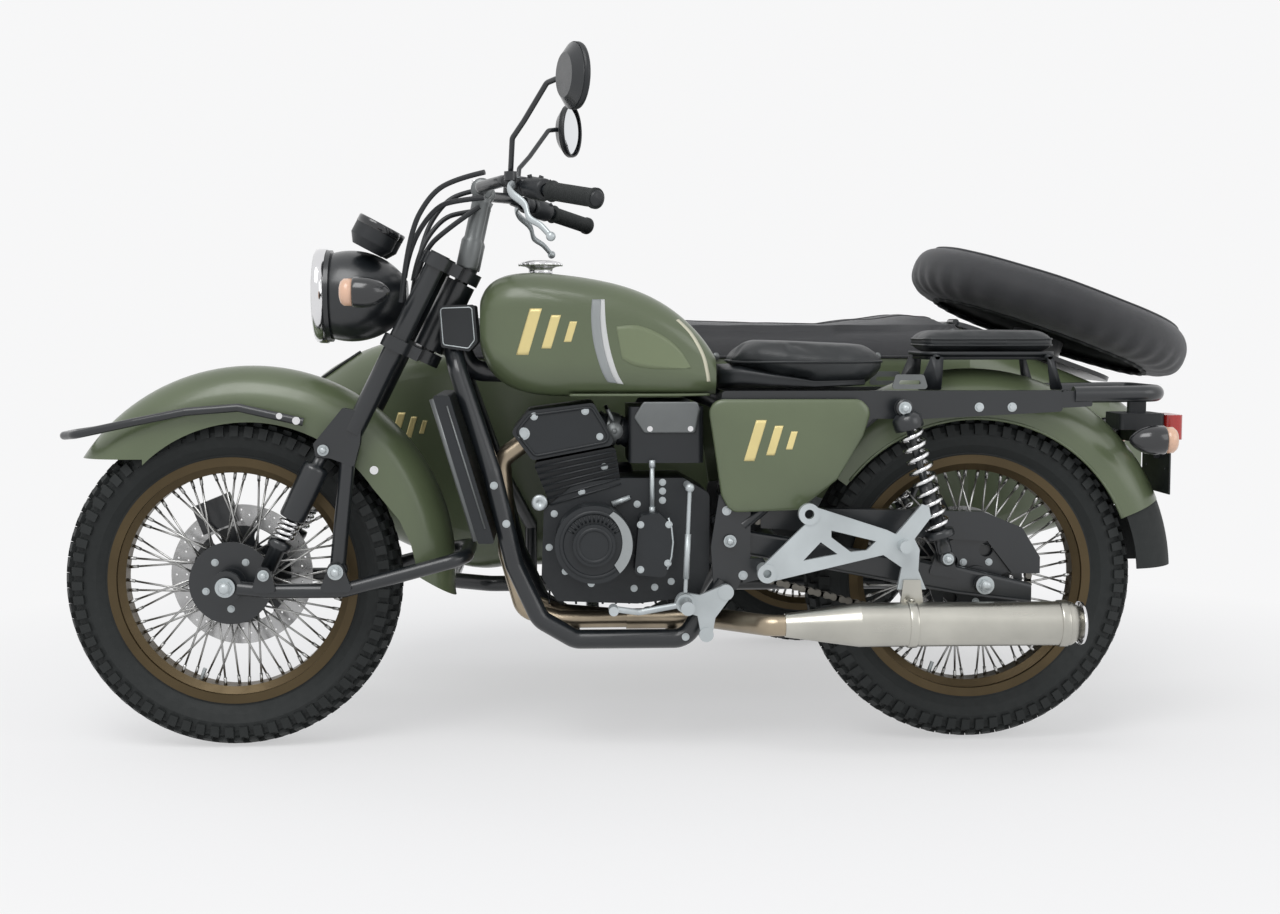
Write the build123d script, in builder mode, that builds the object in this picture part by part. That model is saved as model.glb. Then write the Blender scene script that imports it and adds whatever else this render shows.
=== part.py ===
"""A motorcycle with a sidecar: leading-link fork, laced wheels, upright twin, covered tub.

Millimetres. +X runs to the rear, +Y to the sidecar on the right, +Z up, the ground at z = 0.
The numbers below are taken from midway between the two axles; ORIGIN then moves every piece
so that the whole stands centred over the row's origin.
"""

import os
from math import cos, radians, sin

from build123d import *

os.makedirs("parts", exist_ok=True)

# ---------------------------------------------------------------- driving dimensions
WHEELBASE = 1450
ORIGIN = (158, 335)  # x, y of the middle of the whole's box

TYRE_R, TYRE_HALF, TYRE_WALL = 327, 56, 10
RIM_R, RIM_HALF, RIM_WALL = 242, 38, 3  # 18 inch rim over its flanges
BEAD_R, WELL_R, WELL_HALF = 228, 214, 18
SPOKE_R, SPOKES_A_SIDE, SPOKE_LEAN = 2.0, 30, 24
FLANGE_R, FLANGE_Y, FLANGE_HALF = 64, 35, 4
AXLE_R = 8.5
FIT = 0.3  # gap left between pieces that touch
RUN = 1.0  # radial gap of a bearing

AXLE_Z = TYRE_R
FRONT_X, REAR_X = -WHEELBASE / 2, WHEELBASE / 2
SIDE_LEAD, SIDE_Y = 180, 1080  # the sidecar wheel stands ahead of the rear axle
SIDE_X = REAR_X - SIDE_LEAD

RAKE = 26.6
HEAD = (FRONT_X + 440, 0, 900)  # a point of the steering axis
STEER_UP = (sin(radians(RAKE)), 0, cos(radians(RAKE)))
STEER_FORE = (-cos(radians(RAKE)), 0, sin(radians(RAKE)))
LEG_OFFSET, LEG_Y, LEG_R, SHIN_R = 51.4, 105, 19.5, 15
STEM_R, HEAD_R, HEAD_LOW, HEAD_HIGH = 14, 30, -135, 8
LINK_X, LINK_Z = 210, 30  # fork pivot behind and above the front axle
SWING_R, SWING_Y = 14, 112

TUBE_R, FRAME_Y = 18.5, 122
PIVOT_X, PIVOT_Z, PIVOT_R = 236, 412, 18
SPACER_OUT = 132  # outer face of the plates at the pivot
ARM_Y = 106
RAIL_Y, RAIL_HALF, RAIL_LOW, RAIL_HIGH = 112, 12, 650, 699
SHOCK_Y, SHOCK_R = 165, 24
UP_EYE, DOWN_EYE = (REAR_X - 162, 668), (REAR_X - 76, AXLE_Z + 53)
RAIL_END = REAR_X + 156
TANK_HALF, TANK_LOW, TANK_HIGH = 130, 687, 921
FENDER_HALF, FENDER_WALL = 77, 2.5

TUB_Y, TUB_HALF, TUB_TOP, TUB_WALL = 590, 290, 818, 6


# ---------------------------------------------------------------- ways of making a form
def turned(profile, centre=(0, 0, 0)):
    """A body turned about the line along Y through centre; profile is (radius, y)."""
    with BuildPart() as made:
        with BuildSketch(Plane(origin=centre)):
            with BuildLine():
                Polyline(*profile, close=True)
            make_face()
        revolve(axis=Axis(centre, (0, 1, 0)))
    return made.part


def rod(start, end, radius, bore=0.0):
    """A straight round bar, or a tube where bore is given."""
    along = Vector(*end) - Vector(*start)
    with BuildPart(Plane(origin=start, z_dir=along)) as made:
        Cylinder(radius, along.length, align=(Align.CENTER, Align.CENTER, Align.MIN))
        if bore:
            Cylinder(bore, along.length, align=(Align.CENTER, Align.CENTER, Align.MIN),
                     mode=Mode.SUBTRACT)
    return made.part


def pin(x, z, y_low, y_high, radius, bore=0.0):
    """A round bar lying across the machine."""
    return rod((x, y_low, z), (x, y_high, z), radius, bore)


def pipe(points, radius, bend):
    """A bent round bar through points, its corners rounded to bend."""
    with BuildPart() as made:
        with BuildLine() as path:
            FilletPolyline(*points, radius=bend)
        with BuildSketch(Plane(origin=path.line @ 0, z_dir=path.line % 0)):
            Circle(radius)
        sweep()
    return made.part


def plate(outline, y_low, y_high, corner=0.0):
    """An upright plate across Y with an (x, z) outline."""
    with BuildPart() as made:
        with BuildSketch(Plane.XZ.offset(-y_low)) as face:
            with BuildLine():
                Polyline(*outline, close=True)
            make_face()
            if corner:
                fillet(face.vertices(), corner)
        extrude(amount=-(y_high - y_low))
    return made.part


def block(x, y, z, corner=0.0):
    """A block between (low, high) pairs, its upright edges rounded to corner."""
    with BuildPart() as made:
        with BuildSketch(Plane.XY.offset(z[0])):
            with Locations(((x[0] + x[1]) / 2, (y[0] + y[1]) / 2)):
                if corner:
                    RectangleRounded(x[1] - x[0], y[1] - y[0], corner)
                else:
                    Rectangle(x[1] - x[0], y[1] - y[0])
        extrude(amount=z[1] - z[0])
    return made.part


def hull(sections, inset=0.0, ruled=False):
    """A body lofted along X through sections (x, y_middle, half_width, z_low, z_high, corner)."""
    with BuildPart() as made:
        for x, y, half, low, high, corner in sections:
            with BuildSketch(Plane(origin=(x, y, (low + high) / 2),
                                   x_dir=(0, 1, 0), z_dir=(1, 0, 0))):
                RectangleRounded(2 * (half - inset), high - low - 2 * inset,
                                 max(corner - inset, 2))
        loft(ruled=ruled)
    return made.part


def guard(centre, radius, half, skirt, thick, start, arc, flare=0, flare_arc=0):
    """A half-round mudguard about centre, from start degrees above +X round by arc.

    Its lower end may turn outwards by flare_arc at a radius of flare.
    """
    side = radius - half
    aim = radians(start)
    with BuildPart() as made:
        with BuildSketch(Plane(origin=centre, x_dir=(cos(aim), 0, sin(aim)),
                               z_dir=(-sin(aim), 0, cos(aim)))) as section:
            with BuildLine():
                Polyline((side, -half), (side - skirt, -half), (side - skirt, thick - half),
                         (side, thick - half))
                ThreePointArc((side, thick - half), (radius - thick, 0), (side, half - thick))
                Polyline((side, half - thick), (side - skirt, half - thick),
                         (side - skirt, half), (side, half))
                ThreePointArc((side, half), (radius, 0), (side, -half))
            make_face()
        revolve(axis=Axis(centre, (0, -1, 0)), revolution_arc=arc)
        if flare_arc:
            reach = radius + flare
            outside = (centre[0] + reach * cos(aim), centre[1], centre[2] + reach * sin(aim))
            revolve(section.sketch, axis=Axis(outside, (0, -1, 0)), revolution_arc=flare_arc)
    return made.part


def coil(foot, top, radius, wire, turns):
    """A helical spring from foot to top."""
    along = Vector(*top) - Vector(*foot)
    with BuildPart() as made:
        with BuildLine() as path:
            Helix(pitch=along.length / turns, height=along.length, radius=radius)
        with BuildSketch(Plane(origin=path.line @ 0, z_dir=path.line % 0)):
            RegularPolygon(wire, 6)
        sweep(is_frenet=True)
    return made.part.moved(Plane(origin=foot, z_dir=along).location)


def steer(along, fore, side=0.0):
    """A point of the fork: along the steering axis, ahead of it, and across in Y."""
    return tuple(HEAD[i] + along * STEER_UP[i] + fore * STEER_FORE[i] + (0, side, 0)[i]
                 for i in range(3))


def steer_plane(along, fore=0.0):
    """A plane square to the steering axis, its x to the front and its y to the left."""
    return Plane(origin=steer(along, fore), x_dir=STEER_FORE, z_dir=STEER_UP)


def mirrored(made):
    """A left-hand piece with its right-hand twin."""
    return made + mirror(made, about=Plane.XZ)


def together(*pieces):
    """Pieces of one node that stay apart from each other."""
    return Part(Compound([one for piece in pieces for one in piece.solids()]).wrapped)


def save(made, name):
    """Writes a piece as parts/name.step, moved to the row's origin."""
    placed = made.moved(Location((-ORIGIN[0], -ORIGIN[1], 0)))
    placed.label = name
    export_step(placed, f"parts/{name}.step")


# ---------------------------------------------------------------- wheels
TYRE_BEAD = RIM_HALF - RIM_WALL - FIT


def tyre(centre):
    """A hollow tyre, open to the rim."""
    rise, wall = RIM_R + 4, TYRE_WALL
    with BuildPart() as made:
        with BuildSketch(Plane(origin=centre)):
            with BuildLine():
                Line((BEAD_R + FIT, -TYRE_BEAD), (rise, -TYRE_BEAD))
                ThreePointArc((rise, -TYRE_BEAD), (TYRE_R - 44, -TYRE_HALF),
                              (TYRE_R - 16, -TYRE_HALF + 11))
                ThreePointArc((TYRE_R - 16, -TYRE_HALF + 11), (TYRE_R, 0),
                              (TYRE_R - 16, TYRE_HALF - 11))
                ThreePointArc((TYRE_R - 16, TYRE_HALF - 11), (TYRE_R - 44, TYRE_HALF),
                              (rise, TYRE_BEAD))
                Polyline((rise, TYRE_BEAD), (BEAD_R + FIT, TYRE_BEAD),
                         (BEAD_R + FIT, TYRE_BEAD - wall), (rise, TYRE_BEAD - wall))
                ThreePointArc((rise, TYRE_BEAD - wall), (TYRE_R - 44, TYRE_HALF - wall),
                              (TYRE_R - 24, TYRE_HALF - 11 - wall))
                ThreePointArc((TYRE_R - 24, TYRE_HALF - 11 - wall), (TYRE_R - wall, 0),
                              (TYRE_R - 24, wall + 11 - TYRE_HALF))
                ThreePointArc((TYRE_R - 24, wall + 11 - TYRE_HALF),
                              (TYRE_R - 44, wall - TYRE_HALF), (rise, wall - TYRE_BEAD))
                Polyline((rise, wall - TYRE_BEAD), (BEAD_R + FIT, wall - TYRE_BEAD),
                         (BEAD_R + FIT, -TYRE_BEAD))
            make_face()
        revolve(axis=Axis(centre, (0, 1, 0)))
    return made.part


def rim(centre):
    """A drop-centre rim with upright flanges."""
    t, bead, seat = RIM_WALL, BEAD_R, RIM_HALF - RIM_WALL
    half = [(RIM_R, seat), (RIM_R, RIM_HALF), (bead - t, RIM_HALF), (bead - t, WELL_HALF + 10),
            (WELL_R - t, WELL_HALF + 2)]
    inside = [(WELL_R, WELL_HALF), (bead, WELL_HALF + 8), (bead, seat)]
    outer = inside + half
    return turned([(r, y) for r, y in outer] + [(r, -y) for r, y in reversed(outer)], centre)


def spokes(centre):
    """Two layers a side, laced opposite ways so that none touch."""
    step = 360 / SPOKES_A_SIDE
    laced = []
    for side in (-1, 1):
        for layer, lean in ((1, SPOKE_LEAN), (-1, -SPOKE_LEAN)):
            first = radians(step * (layer < 0) + step / 2 * (side > 0))
            last = first + radians(lean)
            foot = Vector(cos(first) * (FLANGE_R - 7), side * (FLANGE_Y + layer * FLANGE_HALF),
                          sin(first) * (FLANGE_R - 7))
            tip = Vector(cos(last) * (WELL_R - 1), side * (10 + layer * FLANGE_HALF),
                         sin(last) * (WELL_R - 1))
            with BuildPart() as spoke:
                with BuildSketch(Plane(origin=foot, z_dir=tip - foot)):
                    RegularPolygon(SPOKE_R, 6)
                extrude(amount=(tip - foot).length)
            laced += [spoke.part.rotate(Axis.Y, 2 * step * k) for k in range(SPOKES_A_SIDE // 2)]
    return together(*laced).moved(Location(centre))


HUB_BORE = AXLE_R + RUN
HUB_END = 70
CORE = [(FLANGE_R, -FLANGE_Y - FLANGE_HALF), (FLANGE_R, -FLANGE_Y + FLANGE_HALF), (34, -26),
        (34, 26), (FLANGE_R, FLANGE_Y - FLANGE_HALF), (FLANGE_R, FLANGE_Y + FLANGE_HALF)]
SEAT_R, SEAT_Y, DISC_THICK = 60, 60, 5
# a hub's left and right ends: (radius, y) outside the spoke flanges
HUBS = (
    ("front", FRONT_X, 0,
     [(HUB_BORE, -HUB_END), (30, -HUB_END), (30, -66), (80, -66), (80, -60), (32, -56), (32, -39)],
     [(32, 39), (32, SEAT_Y - 6), (SEAT_R, SEAT_Y - 5), (SEAT_R, SEAT_Y), (30, SEAT_Y),
      (30, HUB_END), (HUB_BORE, HUB_END)]),
    ("rear", REAR_X, 0,
     [(HUB_BORE, -94), (28, -94), (28, -74), (70, -74), (70, -66), (36, -62), (36, -39)],
     [(36, 39), (36, SEAT_Y - 6), (SEAT_R, SEAT_Y - 5), (SEAT_R, SEAT_Y), (30, SEAT_Y),
      (30, 94), (HUB_BORE, 94)]),
    ("sidecar", SIDE_X, SIDE_Y,
     [(HUB_BORE, -HUB_END), (30, -HUB_END), (30, -60), (66, -58), (66, -50), (32, -48), (32, -39)],
     [(32, 39), (28, 52), (HUB_BORE, 52)]),
)
hubs = {}
for name, x, y, left, right in HUBS:
    centre = (x, y, AXLE_Z)
    save(tyre(centre), f"{name}_tyre")
    save(rim(centre), f"{name}_rim")
    save(spokes(centre), f"{name}_spokes")
    hubs[name] = turned(left + CORE + right, centre)


FRONT_DISC_R, REAR_DISC_R = 140, 130
CLEAR = 5  # least gap between a turning wheel and what stands beside it


def brake_disc(x, radius):
    """A brake disc on the right-hand seat of a hub: a drilled ring on an open carrier."""
    with BuildPart(Plane(origin=(x, SEAT_Y + FIT, AXLE_Z), x_dir=(1, 0, 0),
                         z_dir=(0, 1, 0))) as made:
        Cylinder(radius, DISC_THICK, align=(Align.CENTER, Align.CENTER, Align.MIN))
        Cylinder(42, DISC_THICK, align=(Align.CENTER, Align.CENTER, Align.MIN),
                 mode=Mode.SUBTRACT)
        with PolarLocations((SEAT_R + radius - 40) / 2 + 6, 6):
            Cylinder((radius - 40 - SEAT_R) / 2 - 2, DISC_THICK * 3, mode=Mode.SUBTRACT)
        for inset, turn in ((10, 0), (20, 7.5), (30, 0)):
            with PolarLocations(radius - inset, 24, turn):
                Cylinder(2.6, DISC_THICK * 3, mode=Mode.SUBTRACT)
    return made.part


CALIPER_IN, CALIPER_OUT, CALIPER_HALF = 41, 90, 36


def caliper(x, aim, radius, bracket_low, bracket_high, bore):
    """A caliper over a disc, aim degrees above +X, on a bracket carried by the axle."""
    gap_low, gap_high = SEAT_Y + FIT - CLEAR, SEAT_Y + FIT + DISC_THICK + CLEAR
    turn = radians(aim)
    with BuildPart(Plane(origin=(x, 0, AXLE_Z), x_dir=(cos(turn), 0, sin(turn)),
                         z_dir=(0, 1, 0))) as made:
        with Locations((radius - 8, 0, (CALIPER_IN + CALIPER_OUT) / 2)):
            Box(60, 2 * CALIPER_HALF, CALIPER_OUT - CALIPER_IN)
        with Locations((radius - 8 - CLEAR - 10, 0, (gap_low + gap_high) / 2)):
            Box(66 + 2 * CLEAR, 3 * CALIPER_HALF, gap_high - gap_low, mode=Mode.SUBTRACT)
        with Locations((radius / 2, 0, (bracket_low + bracket_high) / 2)):
            Box(radius, 34, bracket_high - bracket_low)
        with Locations((0, 0, (bracket_low + bracket_high) / 2)):
            Cylinder(27, bracket_high - bracket_low)
            Cylinder(bore, bracket_high - bracket_low, mode=Mode.SUBTRACT)
        for along in (-22, 22):
            with Locations((radius - 4, along, (CALIPER_OUT + bracket_high) / 2)):
                Cylinder(9, bracket_high - CALIPER_OUT + 2)
    return made.part


save(hubs["front"] + brake_disc(FRONT_X, FRONT_DISC_R), "front_hub")

SPROCKET_R, SPROCKET_Y = 92, -84
with BuildPart(Plane(origin=(REAR_X, SPROCKET_Y + 3, AXLE_Z), x_dir=(1, 0, 0),
                     z_dir=(0, -1, 0))) as sprocket:
    Cylinder(SPROCKET_R, 6, align=(Align.CENTER, Align.CENTER, Align.MIN))
    Cylinder(28 + FIT, 6, align=(Align.CENTER, Align.CENTER, Align.MIN), mode=Mode.SUBTRACT)
    with PolarLocations(62, 5):
        Cylinder(14, 30, mode=Mode.SUBTRACT)
save(hubs["rear"] + brake_disc(REAR_X, REAR_DISC_R) + sprocket.part, "rear_hub")
save(hubs["sidecar"], "sidecar_hub")

# ---------------------------------------------------------------- leading-link fork
KNEE = steer(-338, LEG_OFFSET)
FOOT = (FRONT_X + LINK_X, 0, AXLE_Z + LINK_Z)
YOKE_THICK = 24
TOP_EYE, LOW_EYE = (FRONT_X + 188, AXLE_Z + 261), (FRONT_X + 74, AXLE_Z + 24)
GUSSET = [(KNEE[0] + 20, KNEE[2] + 39), (KNEE[0] - 18, KNEE[2] + 47),
          (TOP_EYE[0] - 19, TOP_EYE[1] + 12), (TOP_EYE[0] - 15, TOP_EYE[1] - 12),
          (TOP_EYE[0] + 13, TOP_EYE[1] - 16), (KNEE[0] + 2, KNEE[2] - 65),
          (KNEE[0] + 14, KNEE[2] - 21)]


def yoke(along, fore):
    """A fork yoke square to the steering axis."""
    with BuildPart() as made:
        with BuildSketch(steer_plane(along)) as face:
            with Locations((fore, LEG_Y), (fore, -LEG_Y)):
                Circle(LEG_R + 9)
            with Locations((0, 0)):
                Circle(HEAD_R + 2)
            with Locations((fore / 2 + 8, 0)):
                Rectangle(fore + 10, 2 * LEG_Y)
        extrude(amount=YOKE_THICK)
    return made.part


with BuildPart() as fork:
    add(yoke(HEAD_HIGH + 4, LEG_OFFSET))
    add(yoke(HEAD_LOW - 4 - YOKE_THICK, LEG_OFFSET))
    add(rod(steer(HEAD_LOW - 10, 0), steer(HEAD_HIGH + 40, 0), STEM_R))
    add(rod(steer(HEAD_HIGH + 28, 0), steer(HEAD_HIGH + 44, 0), 20))
    for side in (-LEG_Y, LEG_Y):
        knee, foot = (KNEE[0], side, KNEE[2]), (FOOT[0], side, FOOT[2])
        add(rod(steer(40, LEG_OFFSET, side), knee, LEG_R))
        add(rod((knee[0] - 4, side, knee[2] + 10), foot, SHIN_R))
        add(pin(FOOT[0], FOOT[2], side - 12, side + 12, 19))
        for cheek in (side - 15, side + 10):
            add(plate(GUSSET, cheek, cheek + 5, 4))
        add(pin(*TOP_EYE, side - 19, side + 19, 6))
    for side in (-LEG_Y, LEG_Y):
        add(pin(FOOT[0], FOOT[2], side - 20, side + 20, 8 + FIT), mode=Mode.SUBTRACT)


def ends(points, offset):
    """The two lines of a shock: its foot and its top, in the plane y."""
    return [(x, offset, z) for x, z in points]


with BuildPart() as front_swingarm:
    loop = [(FRONT_X + 22, -SWING_Y, AXLE_Z - 3), (FRONT_X + 75, -SWING_Y, AXLE_Z - 9),
            (FRONT_X + 220, -SWING_Y, AXLE_Z - 9), (FRONT_X + 350, -SWING_Y, AXLE_Z + 25),
            (FRONT_X + 455, -SWING_Y, AXLE_Z + 53)]
    loop += [(x, -y, z) for x, y, z in reversed(loop)]
    add(pipe(loop, SWING_R, 40))
    for side in (-SWING_Y, SWING_Y):
        low, high = sorted((side - 6, side + 6))
        add(pin(FRONT_X, AXLE_Z, low, high, 30))
        low_z, high_z = AXLE_Z - 9, FOOT[2] + 15
        lug = [(FOOT[0] - 32, low_z), (FOOT[0] + 32, low_z), (FOOT[0] + 12, high_z),
               (FOOT[0] - 12, high_z)]
        shift = 17 if side > 0 else -17
        add(plate(lug, low + shift, high + shift, 8))
        add(pin(FOOT[0], AXLE_Z - 5, min(side, side + shift), max(side, side + shift), 12))
        add(pin(FOOT[0], FOOT[2], *sorted((side * 0.8, side + shift * 1.5)), 8))
        eye_z = LOW_EYE[1] + 15
        add(plate([(LOW_EYE[0] - 24, low_z), (LOW_EYE[0] + 24, low_z), (LOW_EYE[0] + 10, eye_z),
                   (LOW_EYE[0] - 10, eye_z)], low + shift * 0.95, high + shift * 0.95, 8))
        add(pin(LOW_EYE[0], AXLE_Z - 7, min(side, side + shift), max(side, side + shift), 11))
        add(pin(*LOW_EYE, *sorted((side * 0.82, side + shift * 1.4)), 6))
    for side in (-SWING_Y, SWING_Y):
        add(pin(FRONT_X, AXLE_Z, side - 20, side + 20, AXLE_R + FIT), mode=Mode.SUBTRACT)
save(front_swingarm.part, "front_swingarm")


with BuildPart() as front_axle:
    add(pin(FRONT_X, AXLE_Z, -SWING_Y - 12, SWING_Y + 12, AXLE_R))
    for side in (-1, 1):
        add(pin(FRONT_X, AXLE_Z, *sorted((side * (SWING_Y + 6 + FIT), side * (SWING_Y + 14))), 16))
        add(pin(FRONT_X, AXLE_Z, *sorted((side * (HUB_END + 5), side * (SWING_Y - 6 - FIT))), 14))
save(front_axle.part, "front_axle")
save(caliper(FRONT_X, 112, FRONT_DISC_R, 90, SWING_Y - SWING_R - FIT, 14 + FIT), "front_caliper")


def between(low, high, share):
    """The point a share of the way from low to high."""
    return tuple(a + (b - a) * share for a, b in zip(low, high))


with BuildPart() as front_shocks:
    for side in (-LEG_Y, LEG_Y):
        foot, top = ends((LOW_EYE, TOP_EYE), side)
        add(pin(*LOW_EYE, side - 9, side + 9, 13))
        add(pin(*TOP_EYE, side - 9, side + 9, 13))
        add(rod(between(foot, top, 0.04), between(foot, top, 0.26), 15))
        add(rod(between(foot, top, 0.2), between(foot, top, 0.6), 9))
        add(rod(between(foot, top, 0.46), between(foot, top, 0.87), 25))
        add(rod(between(foot, top, 0.85), between(foot, top, 0.97), 8))
    for side in (-LEG_Y, LEG_Y):
        add(pin(*LOW_EYE, side - 12, side + 12, 6 + FIT), mode=Mode.SUBTRACT)
        add(pin(*TOP_EYE, side - 12, side + 12, 6 + FIT), mode=Mode.SUBTRACT)
with BuildPart() as front_springs:
    for side in (-LEG_Y, LEG_Y):
        foot, top = ends((LOW_EYE, TOP_EYE), side)
        add(coil(between(foot, top, 0.275), between(foot, top, 0.44), 19, 3.5, 3))
save(together(front_shocks.part, front_springs.part), "front_shocks")

# front mudguard: its centre stands behind and above the axle, so it opens to the front
GUARD_C, GUARD_R = (FRONT_X + 38, 0, AXLE_Z + 27), 392
STAY_X, STAY_Z = TOP_EYE[0] + 43, TOP_EYE[1] - 8
# what is cut from its sides, as (x, z) from its centre: the tail's slope and the level nose
GUARD_TAIL = ((226, 172), (288, 95), (310, 48), (325, -16), (432, -87), (460, -220), (150, -220),
              (150, 172))
GUARD_NOSE = ((-420, 214), (-200, 214), (-200, 60), (-420, 60))
with BuildPart() as front_fender:
    add(guard(GUARD_C, GUARD_R, FENDER_HALF, 30, FENDER_WALL, -4, 154, 130, 30))
    for cut in (GUARD_TAIL, GUARD_NOSE):
        add(plate([(GUARD_C[0] + x, GUARD_C[2] + z) for x, z in cut], -FENDER_HALF - 5,
                  FENDER_HALF + 5), mode=Mode.SUBTRACT)
    for side in (-1, 1):
        stay = sorted((side * (FENDER_HALF - 2), side * (LEG_Y - SHIN_R - FIT)))
        add(block((STAY_X - 13, STAY_X + 13), stay, (STAY_Z - 14, STAY_Z + 14)))
save(front_fender.part, "front_fender")

BAR_R, BAR_NOSE = 8, FRONT_X - 319
with BuildPart() as fender_bumper:
    side = [(FRONT_X + 147, -92, 640), (FRONT_X + 25, -94, 668), (FRONT_X - 75, -92, 660),
            (FRONT_X - 175, -90, 640), (FRONT_X - 287, -78, 616)]
    add(pipe(side + [(BAR_NOSE, -40, 612), (BAR_NOSE, 40, 612)]
             + [(x, -y, z) for x, y, z in reversed(side)], BAR_R, 22))
save(fender_bumper.part, "fender_bumper")

# headlamp, gauges, indicators
LAMP_X, LAMP_Z, LAMP_R = FRONT_X + 175, 881, 86
with BuildPart() as headlight_shell:
    with BuildSketch(Plane.XY.offset(LAMP_Z)):
        with BuildLine():
            Polyline((LAMP_X + 165, 0), (LAMP_X + 165, 30))
            ThreePointArc((LAMP_X + 165, 30), (LAMP_X + 120, 72), (LAMP_X + 20, LAMP_R - 3))
            Polyline((LAMP_X + 20, LAMP_R - 3), (LAMP_X + 20, LAMP_R + 3), (LAMP_X, LAMP_R + 3),
                     (LAMP_X, 0), (LAMP_X + 165, 0))
        make_face()
    revolve(axis=Axis((0, 0, LAMP_Z), (1, 0, 0)))
save(headlight_shell.part, "headlight_shell")
with BuildPart(Plane(origin=(LAMP_X - FIT, 0, LAMP_Z), z_dir=(-1, 0, 0))) as headlight_lens:
    Cylinder(LAMP_R - 4, 5, align=(Align.CENTER, Align.CENTER, Align.MIN))
    with Locations((0, 0, 5)):
        Cone(LAMP_R - 4, LAMP_R - 30, 11, align=(Align.CENTER, Align.CENTER, Align.MIN))
save(headlight_lens.part, "headlight_lens")

GAUGE_Y, GAUGE_R, GAUGE_DEEP = 50, 43, 52
GAUGE_FACE = (LAMP_X + 117, 0, LAMP_Z + 134)
GAUGE_UP = (0.47, 0, 0.883)
with BuildPart() as gauge_pods:
    for side in (-GAUGE_Y, GAUGE_Y):
        face = (GAUGE_FACE[0], side, GAUGE_FACE[2])
        with Locations(Plane(origin=face, z_dir=GAUGE_UP)):
            Cylinder(GAUGE_R, 34, align=(Align.CENTER, Align.CENTER, Align.MAX))
            with Locations((0, 0, -34)):
                Cone(GAUGE_R - 12, GAUGE_R, GAUGE_DEEP - 34,
                     align=(Align.CENTER, Align.CENTER, Align.MAX))
    bar_x, bar_z = GAUGE_FACE[0] - 15, GAUGE_FACE[2] - 40
    add(rod((bar_x, -GAUGE_Y, bar_z), (bar_x, GAUGE_Y, bar_z), 9))
save(gauge_pods.part, "gauge_pods")


def indicator(x, y, z, stem_y, way):
    """A bullet lamp facing way along X, on a stem across to stem_y."""
    with BuildPart() as made:
        add(rod((x, y, z), (x - way * 40, y, z), 26))
        with Locations(Plane(origin=(x - way * 40, y, z), z_dir=(-way, 0, 0))):
            Cone(26, 6, 46, align=(Align.CENTER, Align.CENTER, Align.MIN))
        add(rod((x - way * 30, y, z), (x - way * 30, stem_y, z), 7))
    return made.part


LAMP_SIDE_Y = 190
save(together(*[indicator(LAMP_X + 64, side * LAMP_SIDE_Y, LAMP_Z + 4, side * 118, -1)
                for side in (-1, 1)]), "front_indicators")

# handlebar, grips, levers, mirrors
BAR_TUBE, BAR_X, BAR_Z = 11, HEAD[0] + 49, 1084
GRIP_IN, GRIP_OUT = (BAR_X + 124, -306, BAR_Z - 20), (BAR_X + 210, -415, BAR_Z - 42)
RISER_Y = 60
near_bar = [GRIP_OUT, GRIP_IN, (BAR_X + 46, -225, BAR_Z + 3), (BAR_X, -120, BAR_Z)]
BAR = near_bar + [(x, -y, z) for x, y, z in reversed(near_bar)]
with BuildPart() as handlebar:
    add(pipe(BAR, BAR_TUBE, 30))
    for side in (-RISER_Y, RISER_Y):
        foot = steer(HEAD_HIGH + 28 + 3.5, 10, side)
        add(rod(foot, (BAR_X, side, BAR_Z - 10), 17))
        add(pin(BAR_X, BAR_Z, side - 14, side + 14, 20))
    add(block((BAR_X + 28, BAR_X + 78), (212, 254), (BAR_Z + 8, BAR_Z + 46), 8))
    for side in (1, -1):
        inner, outer = [(x, side * y, z) for x, y, z in (GRIP_IN, GRIP_OUT)]
        add(rod(between(inner, outer, 0.0), between(inner, outer, 0.11), 20))


def at_bar(side, x, y, z):
    """A place beside the bar, measured from where the left grip begins."""
    return (GRIP_IN[0] + x, side * (GRIP_IN[1] + y), GRIP_IN[2] + z)


with BuildPart() as grips:
    for side in (1, -1):
        inner, outer = [(x, side * y, z) for x, y, z in (GRIP_IN, GRIP_OUT)]
        add(rod(between(inner, outer, 0.12), between(inner, outer, 1.02), 17))
    add(pipe(BAR, BAR_TUBE + FIT, 30), mode=Mode.SUBTRACT)
save(grips.part, "grips")

# levers: (x, y, z) from where the grip begins, down to the ball at the end
LEVER = ((-56, 44, 16), (-64, 6, 0), (-58, -24, -16), (-16, -54, -56), (8, -84, -86))
with BuildPart() as levers:
    for side in (1, -1):
        reach = [at_bar(side, *point) for point in LEVER]
        add(pipe(reach, 6, 12))
        with Locations(reach[-1]):
            Sphere(9)
        add(rod(reach[0], at_bar(side, -72, 60, 22), 10))
save(together(handlebar.part, levers.part), "handlebar")

MIRROR_R = 56
STEM = ((-64, 38, 36), (-60, 6, 92), (-38, -24, 120), (2, -66, 180), (34, -104, 188))
with BuildPart() as mirrors:
    for side in (1, -1):
        add(pipe([at_bar(side, *point) for point in STEM], 5, 14))
        with Locations(Plane(origin=at_bar(side, 44, -124, 185), z_dir=(0.93, side * 0.36, 0))):
            Cylinder(MIRROR_R, 10, align=(Align.CENTER, Align.CENTER, Align.MIN))
            Cone(MIRROR_R, MIRROR_R - 18, 14, rotation=(180, 0, 0),
                 align=(Align.CENTER, Align.CENTER, Align.MIN))
        add(rod(at_bar(side, -64, 38, 36), at_bar(side, -64, 38, 20), 12))
save(mirrors.part - handlebar.part - levers.part, "mirrors")

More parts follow.
